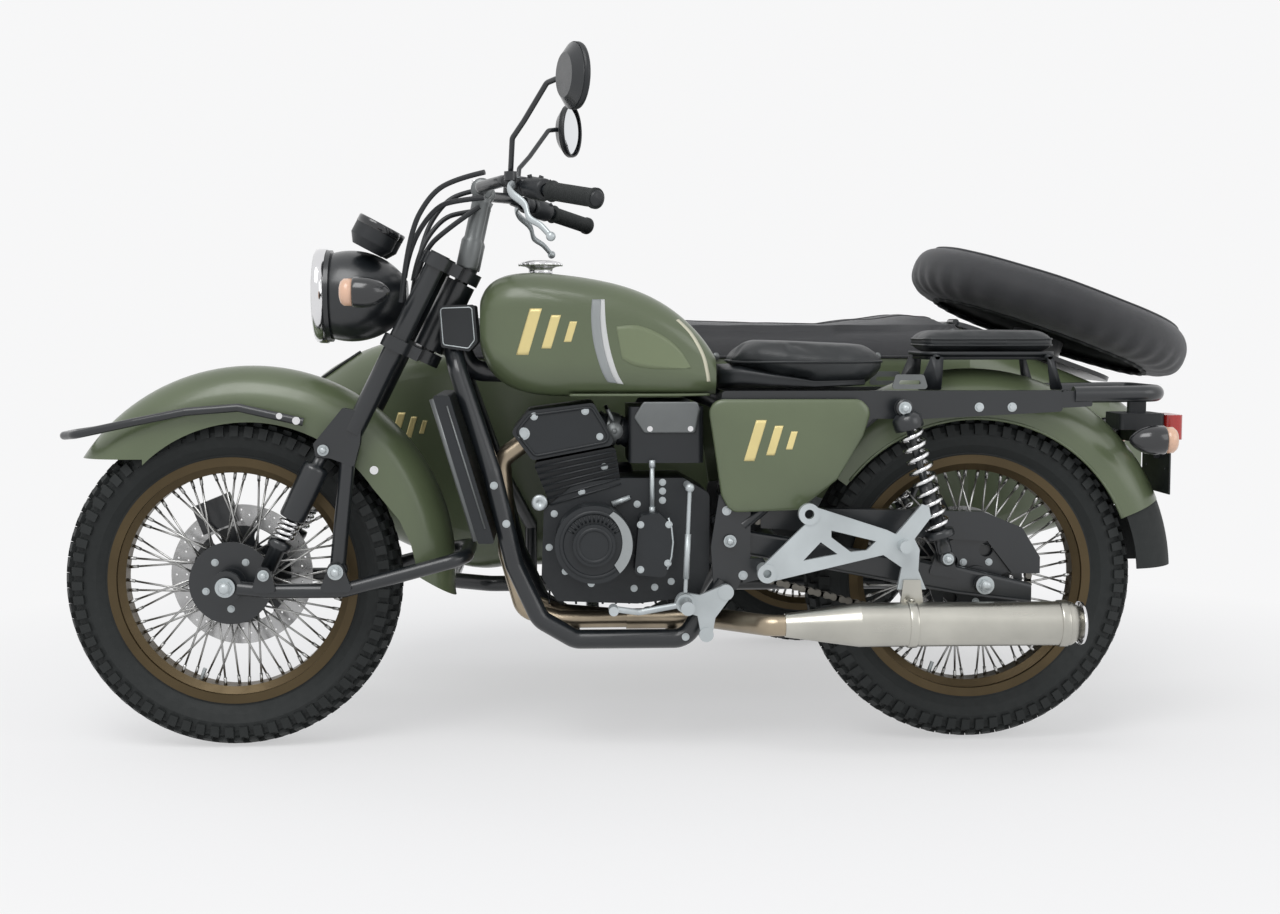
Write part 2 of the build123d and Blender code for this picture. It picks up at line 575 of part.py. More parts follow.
# hoses and cables, each from the bar down to the fork: (x from the bar, y, z from the bar)
HOSE_R = 5
HOSES = (
    ((10, -185, 22), (-42, -165, 12), (-92, -150, -14), (-136, -138, -92), (-152, -112, -216)),
    ((8, -150, -22), (-42, -140, -26), (-86, -125, -38), (-136, -108, -110), (-146, -100, -170)),
    ((-4, -84, -34), (-66, -78, -76), (-112, -72, -118), (-126, -66, -170)),
    ((10, 185, 22), (-40, 168, 14), (-88, 152, -10), (-134, 138, -90), (-152, 112, -216)),
    ((8, 150, -24), (-44, 138, -30), (-90, 124, -44), (-136, 108, -112), (-146, 100, -170)),
)
save(together(*[pipe([(BAR_X + x, y, BAR_Z + z) for x, y, z in hose], HOSE_R, 24)
                for hose in HOSES]), "control_cables")

# ---------------------------------------------------------------- frame
HEAD_TOP, HEAD_FOOT = steer(HEAD_HIGH, 0), steer(HEAD_LOW, 0)
with BuildPart() as main_frame:
    add(rod(HEAD_FOOT, HEAD_TOP, HEAD_R))
    add(pipe([steer(-70, -12), (-262, 0, 735), (110, 0, 722), (228, 0, 676)], 20, 40))
    down = [(HEAD[0] - 20, 0, HEAD[2] - 78), (HEAD[0], -72, 740), (-218, -FRAME_Y, 543),
            (-176, -FRAME_Y, 366), (-128, -FRAME_Y, 262), (-60, -FRAME_Y, 222), (150, -FRAME_Y, 222),
            (226, -FRAME_Y, 332)]
    add(mirrored(pipe(down, TUBE_R, 40)))
    plates = [(206, 316), (250, 316), (276, 380), (276, 505), (216, 505), (200, 400)]
    add(mirrored(plate(plates, -SPACER_OUT, -120, 10)))
    add(mirrored(plate([(262, 330), (300, 338), (316, 358), (300, 378), (262, 376)],
                       -SPACER_OUT, 8 - SPACER_OUT)))
    rail = [(216, RAIL_HIGH), (RAIL_END, RAIL_HIGH), (RAIL_END, RAIL_LOW + 8),
            (UP_EYE[0] + 37, RAIL_LOW - 6), (240, RAIL_LOW)]
    add(mirrored(plate(rail, -RAIL_Y - RAIL_HALF, -RAIL_Y + RAIL_HALF, 8)))
    add(mirrored(rod((246, -122, 495), (290, -RAIL_Y, 660), 13)))
    add(mirrored(rod((262, -124, 440), (UP_EYE[0] - 43, -RAIL_Y, 655), 11)))
    for x, z, r in ((-60, 222, 10), (130, 222, 10), (232, 684, 12), (246, 490, 12)):
        add(pin(x, z, -FRAME_Y, FRAME_Y, r))
    for side in (-1, 1):
        add(pin(*UP_EYE, *sorted((side * RAIL_Y, side * (SHOCK_Y + 14))), 9))
    add(rod(HEAD_FOOT, HEAD_TOP, STEM_R + RUN), mode=Mode.SUBTRACT)
    add(mirrored(pin(PIVOT_X, PIVOT_Z, -140, -100, 10 + RUN)), mode=Mode.SUBTRACT)

with BuildPart() as swingarm:
    arm = [(PIVOT_X, -ARM_Y, 10, 388, 436, 8), (REAR_X - 48, -123, 15, 306, 360, 8),
           (REAR_X + 96, -126, 14, 288, 326, 8)]
    add(mirrored(hull(arm, ruled=True)))
    add(mirrored(pin(PIVOT_X, PIVOT_Z, -ARM_Y - 11, -ARM_Y + 11, 26)))
    add(pin(PIVOT_X, PIVOT_Z, -FRAME_Y + 4, FRAME_Y - 4, PIVOT_R))
    add(pin(PIVOT_X, PIVOT_Z, -138, 138, 10))
    add(pin(330, 396, -ARM_Y, ARM_Y, 18))
    for side in (-1, 1):
        add(pin(*DOWN_EYE, *sorted((side * 122, side * (SHOCK_Y + 14))), 8))
        add(plate([(DOWN_EYE[0] - 29, DOWN_EYE[1] - 34), (DOWN_EYE[0] + 31, DOWN_EYE[1] - 44),
                   (DOWN_EYE[0] + 13, DOWN_EYE[1] + 12), (DOWN_EYE[0] - 13, DOWN_EYE[1] + 12)],
                  *sorted((side * 128, side * 142)), 6))
    add(pin(REAR_X, AXLE_Z, -200, 200, 10 + FIT), mode=Mode.SUBTRACT)

with BuildPart() as rear_axle:
    add(pin(REAR_X, AXLE_Z, -150, 150, AXLE_R))
    for side in (-1, 1):
        add(pin(REAR_X, AXLE_Z, *sorted((side * 141, side * 162)), 17))
save(rear_axle.part, "rear_axle")
save(caliper(REAR_X, 118, REAR_DISC_R, 99, 106, AXLE_R + FIT), "rear_caliper")
save(swingarm.part, "swingarm")

with BuildPart() as shock_absorbers:
    for side in (-SHOCK_Y, SHOCK_Y):
        foot, top = ends((DOWN_EYE, UP_EYE), side)
        add(pin(*DOWN_EYE, side - 12, side + 12, 16))
        add(pin(*UP_EYE, side - 12, side + 12, 16))
        add(rod(between(foot, top, 0.04), between(foot, top, 0.5), 14))
        add(rod(between(foot, top, 0.4), between(foot, top, 0.96), 7))
        add(rod(between(foot, top, 0.14), between(foot, top, 0.18), SHOCK_R + 4))
        add(rod(between(foot, top, 0.86), between(foot, top, 0.95), SHOCK_R + 4))
    for side in (-SHOCK_Y, SHOCK_Y):
        add(pin(*DOWN_EYE, side - 20, side + 20, 8 + FIT), mode=Mode.SUBTRACT)
        add(pin(*UP_EYE, side - 20, side + 20, 9 + FIT), mode=Mode.SUBTRACT)
with BuildPart() as shock_springs:
    for side in (-SHOCK_Y, SHOCK_Y):
        foot, top = ends((DOWN_EYE, UP_EYE), side)
        add(coil(between(foot, top, 0.2), between(foot, top, 0.84), SHOCK_R - 3, 3.5, 9))
save(together(shock_absorbers.part, shock_springs.part), "rear_shocks")

# ---------------------------------------------------------------- engine and exhaust
with BuildPart() as engine_crankcase:
    case = [(-125, 340), (-95, 292), (60, 286), (180, 300), (200, 350), (200, 500), (150, 530),
            (20, 530), (-60, 520), (-120, 470)]
    add(plate(case, -96, 96, 14))
    add(plate([(-104, 470), (30, 512), (18, 590), (-140, 560)], -88, 88, 8))
with BuildPart() as engine_covers:
    add(pin(-25, 411, -176, -96 - FIT, 74))
    add(pin(-25, 411, -190, -170, 40))
    add(plate([(52, 350), (110, 344), (127, 380), (127, 440), (100, 468), (62, 462)],
              -150, -96 - FIT, 10))
    add(pin(-20, 405, 96 + FIT, 132, 82))
with BuildPart() as engine_cylinder_head:
    add(plate([(-142, 565 + FIT), (18, 595 + FIT), (-4, 640), (-24, 676), (-150, 660),
               (-182, 620)], -100, 100, 10))
save(engine_crankcase.part, "engine_crankcase")
save(engine_covers.part, "engine_covers")
save(engine_cylinder_head.part, "engine_cylinder_head")
with BuildPart() as airbox:
    add(block((44, 188), (-104, 104), (560, 668), 12))
save(airbox.part, "airbox")

with BuildPart() as radiator:
    core = [(-328, 692), (-297, 692), (-213, 411), (-244, 411)]
    add(plate(core, -150, 150, 4))
save(radiator.part, "radiator")
COVER = ((-322, 862), (-252, 864), (-246, 792), (-262, 774), (-316, 782))
with BuildPart() as head_covers:
    add(mirrored(plate([(HEAD[0] + 285 + x, z) for x, z in COVER], -70, -64, 5)))
    add(mirrored(pin(HEAD[0] + 19, 782, -66, -17.5, 5)))
save(head_covers.part, "head_covers")

CAN_R, CAN_Y, CAN_Z, CAN_START, CAN_END = 41.5, -230, 264, 470, 892
REST_Y, PEG_Y = (-164, -152), (-203, -193)
HANGER_X = 574
PIPE_R = 17
with BuildPart() as exhaust_pipe:
    for y in (-52, 52):
        add(pipe([(-162.6, y, 592), (-204, y, 562), (-192, y, 380), (-160, y * 1.2, 270),
                  (-90, -70 if y < 0 else 20, 252), (60, -66, 252)], PIPE_R, 34))
    add(pipe([(40, -66, 252), (206, -66, 252), (300, CAN_Y, CAN_Z), (330, CAN_Y, CAN_Z)], 20, 25))
save(exhaust_pipe.part, "exhaust_pipe")

with BuildPart() as silencer:
    with BuildSketch(Plane(origin=(0, CAN_Y, CAN_Z))):
        with BuildLine():
            Polyline((330 + FIT, 0), (330 + FIT, 22), (CAN_START, CAN_R), (CAN_END - 22, CAN_R),
                     (CAN_END, CAN_R - 12), (CAN_END, 18), (CAN_END - 60, 18), (CAN_END - 60, 0),
                     close=True)
        make_face()
    revolve(axis=Axis((0, CAN_Y, CAN_Z), (1, 0, 0)))
    add(plate([(HANGER_X - 22, CAN_Z + 34), (HANGER_X + 22, CAN_Z + 34), (HANGER_X + 16, 345),
               (HANGER_X - 16, 345)], PEG_Y[0] - FIT - 6, PEG_Y[0] - FIT))
save(silencer.part, "silencer")

# ---------------------------------------------------------------- tank and seats
with BuildPart() as fuel_tank:
    add(hull([(-241, 0, 84, 782, 872, 38), (-196, 0, 114, 712, 918, 60),
              (-80, 0, TANK_HALF, TANK_LOW, TANK_HIGH, 70), (40, 0, TANK_HALF, TANK_LOW, 898, 66),
              (150, 0, 116, TANK_LOW, 838, 50), (213, 0, 92, TANK_LOW + 4, 762, 30)]))
    add(block((-260, 230), (-46, 46), (670, 776)), mode=Mode.SUBTRACT)
save(fuel_tank.part, "fuel_tank")
with BuildPart() as fuel_cap:
    add(rod((-125, 0, 916), (-125, 0, 936), 30))
    add(rod((-125, 0, 936), (-125, 0, 950), 40))
save(fuel_cap.part - fuel_tank.part, "fuel_cap")
SEAT_LOW, PAD_Y = 710, 95
PAD_START, PAD_END, PAD_LOW, PAD_HIGH = REAR_X - 103, REAR_X + 161, 770, 814
with BuildPart() as rider_seat:
    add(hull([(228, 0, 76, SEAT_LOW - 4, 756, 22), (300, 0, 108, SEAT_LOW - 4, 784, 34),
              (440, 0, 134, SEAT_LOW, 800, 40), (545, 0, 112, SEAT_LOW + 14, 792, 30)]))
save(rider_seat.part, "rider_seat")
with BuildPart() as pillion_seat:
    add(block((PAD_START, PAD_END), (-PAD_Y, PAD_Y), (PAD_LOW, PAD_HIGH), 34))
    add(block((PAD_START + 10, PAD_END - 10), (15 - PAD_Y, PAD_Y - 15), (PAD_LOW - 12, PAD_LOW), 24))
    for x, half, lean in ((PAD_START + 30, 24, -16), (PAD_END - 26, 12, 14)):
        leg = [(x - half + lean, RAIL_HIGH + FIT), (x + half + lean, RAIL_HIGH + FIT),
               (x + half / 2, PAD_LOW - 6), (x - half / 2, PAD_LOW - 6)]
        add(mirrored(plate(leg, -RAIL_Y + 6, -RAIL_Y + 11)))
        add(pin(x, PAD_LOW - 7, 6 - RAIL_Y, RAIL_Y - 6, 5))
save(pillion_seat.part, "pillion_seat")

with BuildPart() as side_panels:
    panel = [(191, 684), (485, 684), (505, 662), (490, 615), (440, 530), (368, 472), (236, 468),
             (218, 500), (205, 590)]
    add(mirrored(plate(panel, -150, -138, 10)))
save(side_panels.part, "side_panels")

# ---------------------------------------------------------------- tail
REAR_GUARD_R = 412
with BuildPart() as rear_fender:
    add(guard((REAR_X, 0, AXLE_Z), REAR_GUARD_R, FENDER_HALF, 20, FENDER_WALL, 22, 122))
    for y in (-34, 34):
        rib = REAR_GUARD_R - FENDER_HALF + (FENDER_HALF ** 2 - y ** 2) ** 0.5
        with BuildSketch(Plane(origin=(REAR_X, 0, AXLE_Z), x_dir=(cos(radians(30)), 0, 0.5),
                               z_dir=(-0.5, 0, cos(radians(30))))):
            with Locations((rib - 1, y)):
                Circle(3.2)
        revolve(axis=Axis((REAR_X, 0, AXLE_Z), (0, -1, 0)), revolution_arc=104)
    for x in (REAR_X - 130, REAR_X + 110):
        add(mirrored(pin(x, 668, -RAIL_Y + RAIL_HALF + FIT, 2 - FENDER_HALF, 14)))
save(rear_fender.part, "rear_fender")
with BuildPart() as mudflap:
    add(guard((REAR_X, 0, AXLE_Z), REAR_GUARD_R - 1, FENDER_HALF - 4, 12, 5, 3, 18.8))
save(mudflap.part, "mudflap")
RACK_R, RACK_END, RACK_Z = 16, REAR_X + 371, 692
with BuildPart() as rear_rack:
    loop = [(RAIL_END + 24, -RAIL_Y, RACK_Z - 2), (RACK_END - RACK_R, -104, RACK_Z),
            (RACK_END - RACK_R, 104, RACK_Z), (RAIL_END + 24, RAIL_Y, RACK_Z - 2)]
    add(pipe(loop, RACK_R, 40))
    for side in (-1, 1):
        add(plate([(RAIL_END + FIT, 665), (RAIL_END + 59, 668), (RAIL_END + 59, RACK_Z + 6),
                   (RAIL_END + FIT, RACK_Z + 6)],
                  *sorted((side * (RAIL_Y - 8), side * (RAIL_Y + 8))), 4))
save(rear_rack.part, "rear_rack")
LIGHT_X, LIGHT_HALF = REAR_X + 293, 50
PLATE_HALF, PLATE_LOW, PLATE_HIGH, PLATE_HOLES = 80, 492, 592, 110  # number-plate holder
with BuildPart() as tail_light:
    add(block((LIGHT_X, LIGHT_X + 91), (-LIGHT_HALF, LIGHT_HALF), (618, 650), 10))
    add(block((LIGHT_X + 32, LIGHT_X + 66), (-8, 8), (650, RACK_Z - RACK_R - FIT)))
    add(block((LIGHT_X + 32, LIGHT_X + 48), (-LIGHT_HALF, LIGHT_HALF), (593, 618)))
    add(block((LIGHT_X + 78, LIGHT_X + 90), (-24, 24), (560, 618)))
    add(block((LIGHT_X + 90, LIGHT_X + 93), (-PLATE_HALF, PLATE_HALF), (PLATE_LOW, PLATE_HIGH)))
    for y in (-PLATE_HOLES / 2, PLATE_HOLES / 2):
        z = (PLATE_LOW + PLATE_HIGH) / 2
        add(rod((LIGHT_X + 80, y, z), (LIGHT_X + 100, y, z), 3), mode=Mode.SUBTRACT)
save(tail_light.part, "tail_light")
save(together(*[indicator(LIGHT_X + 70, side * 150, 604, side * (LIGHT_HALF + FIT), 1)
                for side in (-1, 1)]), "rear_indicators")
with BuildPart() as tail_lens:
    add(block((LIGHT_X + 91 + FIT, LIGHT_X + 129), (-LIGHT_HALF, LIGHT_HALF), (598, 647), 14))
save(tail_lens.part, "tail_lens")

# ---------------------------------------------------------------- chain, guard, brackets
CHAIN_HALF, CHAIN_THICK, DRIVE_X, DRIVE_R, CASE_END = 7, 10, 150, 32, 206
CHAIN_R = SPROCKET_R + CLEAR + 2  # the chain's inside round the rear sprocket
with BuildPart() as drive_chain:
    with BuildSketch(Plane.XZ.offset(CHAIN_HALF - SPROCKET_Y)):
        with Locations((DRIVE_X, PIVOT_Z)):
            Circle(DRIVE_R + CHAIN_THICK)
        with Locations((REAR_X, AXLE_Z)):
            Circle(CHAIN_R + CHAIN_THICK)
        make_hull()
    extrude(amount=-2 * CHAIN_HALF)
    with BuildSketch(Plane.XZ.offset(CHAIN_HALF - SPROCKET_Y)):
        with Locations((DRIVE_X, PIVOT_Z)):
            Circle(DRIVE_R)
        with Locations((REAR_X, AXLE_Z)):
            Circle(CHAIN_R)
        make_hull()
    extrude(amount=-2 * CHAIN_HALF, mode=Mode.SUBTRACT)
    add(block((0, CASE_END), (-110, -50), (300, 520)), mode=Mode.SUBTRACT)
with BuildPart() as chain_guard:
    add(plate([(300, 472), (REAR_X + 10, 462), (REAR_X + 88, 430), (REAR_X + 124, 372),
               (REAR_X + 124, 340), (REAR_X + 70, 340), (REAR_X + 20, 404), (300, 432)],
              SPROCKET_Y - 13, SPROCKET_Y + 12))
    add(plate([(290, 464), (REAR_X + 8, 454), (REAR_X + 82, 424), (REAR_X + 116, 369),
               (REAR_X + 116, 330), (290, 330)], SPROCKET_Y - 10, SPROCKET_Y + 30),
        mode=Mode.SUBTRACT)
save(together(chain_guard.part, drive_chain.part), "chain_guard")
# footrest plate and pillion bracket: rings (x, z, outer, hole), then their outlines in (x, z)
REST_RINGS = ((148, 298, 19, 8), (226, 317, 15, 7), (189, 236, 14, 6))
REST = ((140, 282), (172, 272), (178, 240), (200, 232), (206, 268), (234, 306), (220, 330),
        (176, 312), (152, 316))
PEG_RINGS = ((379, 470, 20, 9), (300, 358, 18, 8))
PEG_PLATE = ((395, 482), (527, 439), (544, 431), (593, 488), (606, 483), (610, 463), (579, 422),
             (589, 402), (587, 362), (602, 326), (547, 326), (555, 368), (520, 392), (310, 343),
             (287, 368), (372, 451))
PEG_HOLES = (((401, 417), (433, 394), (368, 382)),
             ((421, 439), (506, 418), (488, 401), (458, 398), (421, 426)))
SPACER_R = 9
with BuildPart() as footrest_brackets:
    add(mirrored(plate(REST, *REST_Y)))
    for x, z, outer, hole in REST_RINGS:
        add(mirrored(pin(x, z, REST_Y[0] - 2, REST_Y[1] + 2, outer)))
    add(mirrored(pin(*REST_RINGS[0][:2], -240, REST_Y[1], 13)))
    add(mirrored(pin(*REST_RINGS[1][:2], REST_Y[0], -FRAME_Y - TUBE_R - FIT, SPACER_R)))
with BuildPart() as pillion_brackets:
    add(mirrored(plate(PEG_PLATE, *PEG_Y)))
    for x, z, outer, hole in PEG_RINGS:
        add(mirrored(pin(x, z, PEG_Y[0] - 3, PEG_Y[1] + 3, outer)))
    add(mirrored(pin(*PEG_RINGS[1][:2], PEG_Y[1], -SPACER_OUT - FIT, SPACER_R + 3)))
    for hole in PEG_HOLES:
        add(mirrored(plate(hole, PEG_Y[0] - 5, PEG_Y[1] + 5)), mode=Mode.SUBTRACT)
    for x, z, outer, hole in PEG_RINGS:
        add(mirrored(pin(x, z, PEG_Y[0] - 5, PEG_Y[1] + 5, hole)), mode=Mode.SUBTRACT)
    add(mirrored(pin(558, 410, PEG_Y[0] - 30, PEG_Y[0], 12)))
with BuildPart() as foot_levers:
    for side in (1, -1):
        add(pin(*REST_RINGS[0][:2], *sorted((side * -167, side * -178)), 18))
        add(pipe([(132, side * -172, 294), (60, side * -176, 282), (10, side * -206, 294)], 6, 20))
        add(pin(10, 294, *sorted((side * -200, side * -238)), 9))
    for side in (1, -1):
        add(pin(*REST_RINGS[0][:2], *sorted((side * -160, side * -185)), 13 + FIT), mode=Mode.SUBTRACT)
with BuildPart() as shift_rod:
    add(rod((148, -172, 319), (156, -172, 518), 4))
    add(pin(156, 518, -178, -96 - FIT, 7))
save(together(footrest_brackets.part, pillion_brackets.part, foot_levers.part, shift_rod.part),
     "footrest_brackets")

# ---------------------------------------------------------------- sidecar
STRUT_R, COLLAR_R, POST_Y = 14, 17, 272
SIDE_IN, SIDE_OUT, SIDE_Z, SIDE_R = 350, 840, 262, 17
CLAMP_Y = FRAME_Y + TUBE_R + FIT
# each strut: its clamp on the frame (x, y, z), then where it meets the sidecar's frame
STRUTS = (((-20, CLAMP_Y, 222), (-20, SIDE_IN, SIDE_Z)),
          ((96, CLAMP_Y, 222), (240, SIDE_IN, SIDE_Z)),
          ((-215, CLAMP_Y, 536), (-150, POST_Y, 400)),
          ((720, RAIL_Y + RAIL_HALF + FIT, 672), (640, POST_Y, 400)))
with BuildPart() as sidecar_frame:
    middle = (SIDE_IN + SIDE_OUT) / 2
    loop = [(-330, middle, SIDE_Z), (-330, SIDE_IN + 60, SIDE_Z), (-240, SIDE_IN, SIDE_Z),
            (900, SIDE_IN, SIDE_Z), (900, middle, SIDE_Z)]
    near_side = pipe(loop, SIDE_R, 50)
    add(near_side)
    add(mirror(near_side, about=Plane.XZ.offset(-middle), mode=Mode.PRIVATE))
    for x in (-60, 300, SIDE_X + 20):
        add(rod((x, SIDE_IN, SIDE_Z), (x, SIDE_OUT, SIDE_Z), SIDE_R - 2))
    for clamp, end in STRUTS:
        add(pin(clamp[0], clamp[2], clamp[1], clamp[1] + 24, COLLAR_R))
        add(rod((clamp[0], clamp[1] + 16, clamp[2]), end, STRUT_R))
    for x in (-150, 640):
        add(rod((x, POST_Y, 404), (x, POST_Y, SIDE_Z), STRUT_R - 1))
        add(rod((x, POST_Y, SIDE_Z), (x, SIDE_IN, SIDE_Z), STRUT_R - 1))
    add(pin(SIDE_X - 260, 290, SIDE_OUT, SIDE_OUT + 19, 20))

save(fork.part, "fork")
save(main_frame.part, "main_frame")
save(sidecar_frame.part, "sidecar_frame")

# tub stations: x, half width, underside, top edge, corner; nose first, then the body
NOSE = ((-682, 105, 540, 640, 40), (-620, 190, 440, 710, 80), (-520, 246, 385, 768, 90),
        (-380, 280, 325, 804, 90), (-200, TUB_HALF, 300, TUB_TOP, 80))
BODY = (NOSE[-1], (640, TUB_HALF, 300, TUB_TOP, 80), (800, TUB_HALF, 312, TUB_TOP - 2, 80),
        (1130, 228, 400, 688, 70), (1225, 160, 470, 622, 50))
BOOT_X = 800
DAMPER_X, DAMPER_Y, DAMPER_TOP = SIDE_X - 60, 934, 560


def tub_body(inset, end_gap):
    """The tub's solid, or its inside where inset is its wall."""
    def stations(rows):
        return [(x, TUB_Y, half, low, high, corner) for x, half, low, high, corner in rows]
    nose = [(NOSE[0][0] + end_gap, *NOSE[0][1:])] + list(NOSE[1:])
    body = list(BODY[:-1]) + [(BODY[-1][0] - end_gap, *BODY[-1][1:])]
    return hull(stations(nose), inset) + hull(stations(body), inset, ruled=True)


with BuildPart() as sidecar_tub:
    add(tub_body(0, 0))
    add(tub_body(TUB_WALL, TUB_WALL), mode=Mode.SUBTRACT)
    add(block((-430, 740), (TUB_Y - 215, TUB_Y + 215), (700, 900), 60), mode=Mode.SUBTRACT)
    add(block((BOOT_X + 30, 1120), (TUB_Y - 160, TUB_Y + 160), (600, 900), 30),
        mode=Mode.SUBTRACT)
    for x in (-60, 300, SIDE_X + 20):
        for y in (TUB_Y - 150, TUB_Y + 150):
            add(block((x - 15, x + 15), (y - 15, y + 15), (SIDE_Z + 15 + FIT, 304)))
    tub_side = TUB_Y + TUB_HALF
    add(block((DAMPER_X - 22, DAMPER_X + 22), (tub_side - 2, tub_side + 30),
              (DAMPER_TOP - 16, DAMPER_TOP + 16)))
    add(pin(DAMPER_X, DAMPER_TOP, tub_side + 28, DAMPER_Y + 18, 8))
save(sidecar_tub.part, "sidecar_tub")
# the cover's ridge line: x, half width, top
COVER_TOPS = ((-452, 240, TUB_TOP + 6), (-300, 246, TUB_TOP + 18), (200, 246, TUB_TOP + 19),
              (480, 246, TUB_TOP + 6), (600, 240, TUB_TOP + 18), (690, 230, TUB_TOP + 28),
              (735, 222, TUB_TOP + 24), (788, 210, TUB_TOP + 7))
with BuildPart() as sidecar_tonneau:
    add(hull([(x, TUB_Y, half, TUB_TOP + 1, top, 2) for x, half, top in COVER_TOPS], ruled=True))
save(sidecar_tonneau.part, "sidecar_tonneau")

SPARE = (1050, TUB_Y, 856)
SPARE_TILT, SPARE_R, SPARE_HALF = 20, 330, 58
tilt = radians(SPARE_TILT)
SPARE_UP = (sin(tilt), 0, cos(tilt))
with BuildPart(Plane(origin=SPARE, z_dir=SPARE_UP)) as spare_wheel:
    Cylinder(SPARE_R, 2 * SPARE_HALF)
    fillet(spare_wheel.edges(), 34)
save(spare_wheel.part, "spare_wheel")
HINGE_R = 7
with BuildPart() as boot_lid:
    with BuildSketch(Plane(origin=(BOOT_X, TUB_Y, TUB_TOP + 6), x_dir=(cos(tilt), 0, -sin(tilt)),
                           z_dir=SPARE_UP)):
        with Locations((185, 0)):
            RectangleRounded(370, 380, 50)
    extrude(amount=10)
    add(rod(tuple(SPARE[i] - SPARE_UP[i] * (SPARE_HALF + FIT) for i in range(3)),
            tuple(SPARE[i] - SPARE_UP[i] * 120 for i in range(3)), 60))
    for y in (TUB_Y - 120, TUB_Y + 120):
        add(pin(BOOT_X, TUB_TOP + 14, y - 30, y + 30, HINGE_R))
save(boot_lid.part, "boot_lid")
with BuildPart() as sidecar_fender:
    add(guard((SIDE_X, SIDE_Y, AXLE_Z), 402, FENDER_HALF, 40, FENDER_WALL, 8, 164))
    for x, z in ((SIDE_X - 210, 560), (SIDE_X + 210, 560)):
        add(rod((x, TUB_Y + TUB_HALF + 8, 490), (x, SIDE_Y - FENDER_HALF + 1, z), 9))
        add(pin(x, 490, TUB_Y + TUB_HALF + FIT, TUB_Y + TUB_HALF + 16, 18))
save(sidecar_fender.part, "sidecar_fender")
with BuildPart() as sidecar_swingarm:
    arm_foot, arm_end = (SIDE_X - 260, SIDE_OUT + 40, 290), (SIDE_X, SIDE_OUT + 104, AXLE_Z)
    add(pin(SIDE_X, AXLE_Z, SIDE_OUT + 90, SIDE_Y + 60, AXLE_R))
    add(pin(SIDE_X, AXLE_Z, SIDE_Y + 54, SIDE_Y + 66, 15))
    add(rod(arm_foot, arm_end, 17))
    add(pin(SIDE_X - 260, 290, SIDE_OUT + 20, SIDE_OUT + 70, 22))
    add(pin(SIDE_X, AXLE_Z, SIDE_OUT + 84, SIDE_Y - HUB_END - 3, 24))
    add(rod((DAMPER_X, DAMPER_Y, 318), (DAMPER_X, DAMPER_Y, 450), 13))
    add(rod((DAMPER_X, DAMPER_Y, 340), (DAMPER_X, DAMPER_Y, 348), 25))
    add(rod((DAMPER_X, DAMPER_Y, 440), (DAMPER_X, DAMPER_Y, DAMPER_TOP - 4), 7))
    add(rod((DAMPER_X, DAMPER_Y, DAMPER_TOP - 34), (DAMPER_X, DAMPER_Y, DAMPER_TOP - 26), 25))
    add(pin(DAMPER_X, DAMPER_TOP, DAMPER_Y - 12, DAMPER_Y + 12, 16))
    add(pin(DAMPER_X, DAMPER_TOP, DAMPER_Y - 20, DAMPER_Y + 20, 8 + FIT), mode=Mode.SUBTRACT)
damper_spring = coil((DAMPER_X, DAMPER_Y, 356), (DAMPER_X, DAMPER_Y, DAMPER_TOP - 42), 19.5, 3.5, 7)
save(together(sidecar_swingarm.part, damper_spring), "sidecar_swingarm")
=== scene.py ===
"""The sidecar motorcycle's look: materials, knobby tyres, wire spokes, seats, covers and fittings.

Places, and the steps between them, are Vectors in metres in the row's frame. The numbers in
tables, outlines and profiles, and the sizes that Mesh takes, are in millimetres as in the CAD.
"""

from math import acos, atan2, cos, pi, radians, sin, sqrt, tan

import bpy
from mathutils import Matrix, Vector, noise
from mathutils.bvhtree import BVHTree


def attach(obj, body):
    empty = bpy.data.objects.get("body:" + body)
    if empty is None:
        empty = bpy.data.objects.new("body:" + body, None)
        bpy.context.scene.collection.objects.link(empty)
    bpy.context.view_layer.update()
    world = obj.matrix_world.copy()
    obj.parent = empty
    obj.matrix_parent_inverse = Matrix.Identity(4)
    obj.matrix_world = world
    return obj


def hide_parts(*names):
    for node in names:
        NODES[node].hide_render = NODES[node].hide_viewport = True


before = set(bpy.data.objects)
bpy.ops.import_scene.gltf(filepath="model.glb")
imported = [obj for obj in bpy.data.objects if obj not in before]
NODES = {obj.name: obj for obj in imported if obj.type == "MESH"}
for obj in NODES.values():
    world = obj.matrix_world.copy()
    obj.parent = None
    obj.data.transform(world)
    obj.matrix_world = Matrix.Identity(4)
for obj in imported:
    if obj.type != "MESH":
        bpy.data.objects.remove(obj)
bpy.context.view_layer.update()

ORIGIN = Vector((0.158, 0.335, 0.0))  # the row's origin, from midway between the two axles
X, Y, Z = Vector((1, 0, 0)), Vector((0, 1, 0)), Vector((0, 0, 1))
SIDES = (-1, 1)  # left, where the photograph was taken from, and right
TUB_Y = 590  # the middle of the sidecar's tub
REACH = 600  # from where rays start towards what they are to meet


def at(x, y, z):
    """A place given in millimetres from midway between the axles, as the CAD gives it."""
    return Vector((x, y, z)) / 1000 - ORIGIN


# ---------------------------------------------------------------- materials
def feed(tree, node, *ordered, **named):
    """Gives inputs of a node values or links, in order or by name, with _ for a space."""
    for key, value in (*enumerate(ordered), *named.items()):
        socket = node.inputs[key.replace("_", " ") if isinstance(key, str) else key]
        if isinstance(value, bpy.types.NodeSocket):
            tree.links.new(value, socket)
        else:
            socket.default_value = value
    return node


def shader_node(tree, kind, *ordered, **named):
    return feed(tree, tree.nodes.new("ShaderNode" + kind), *ordered, **named)


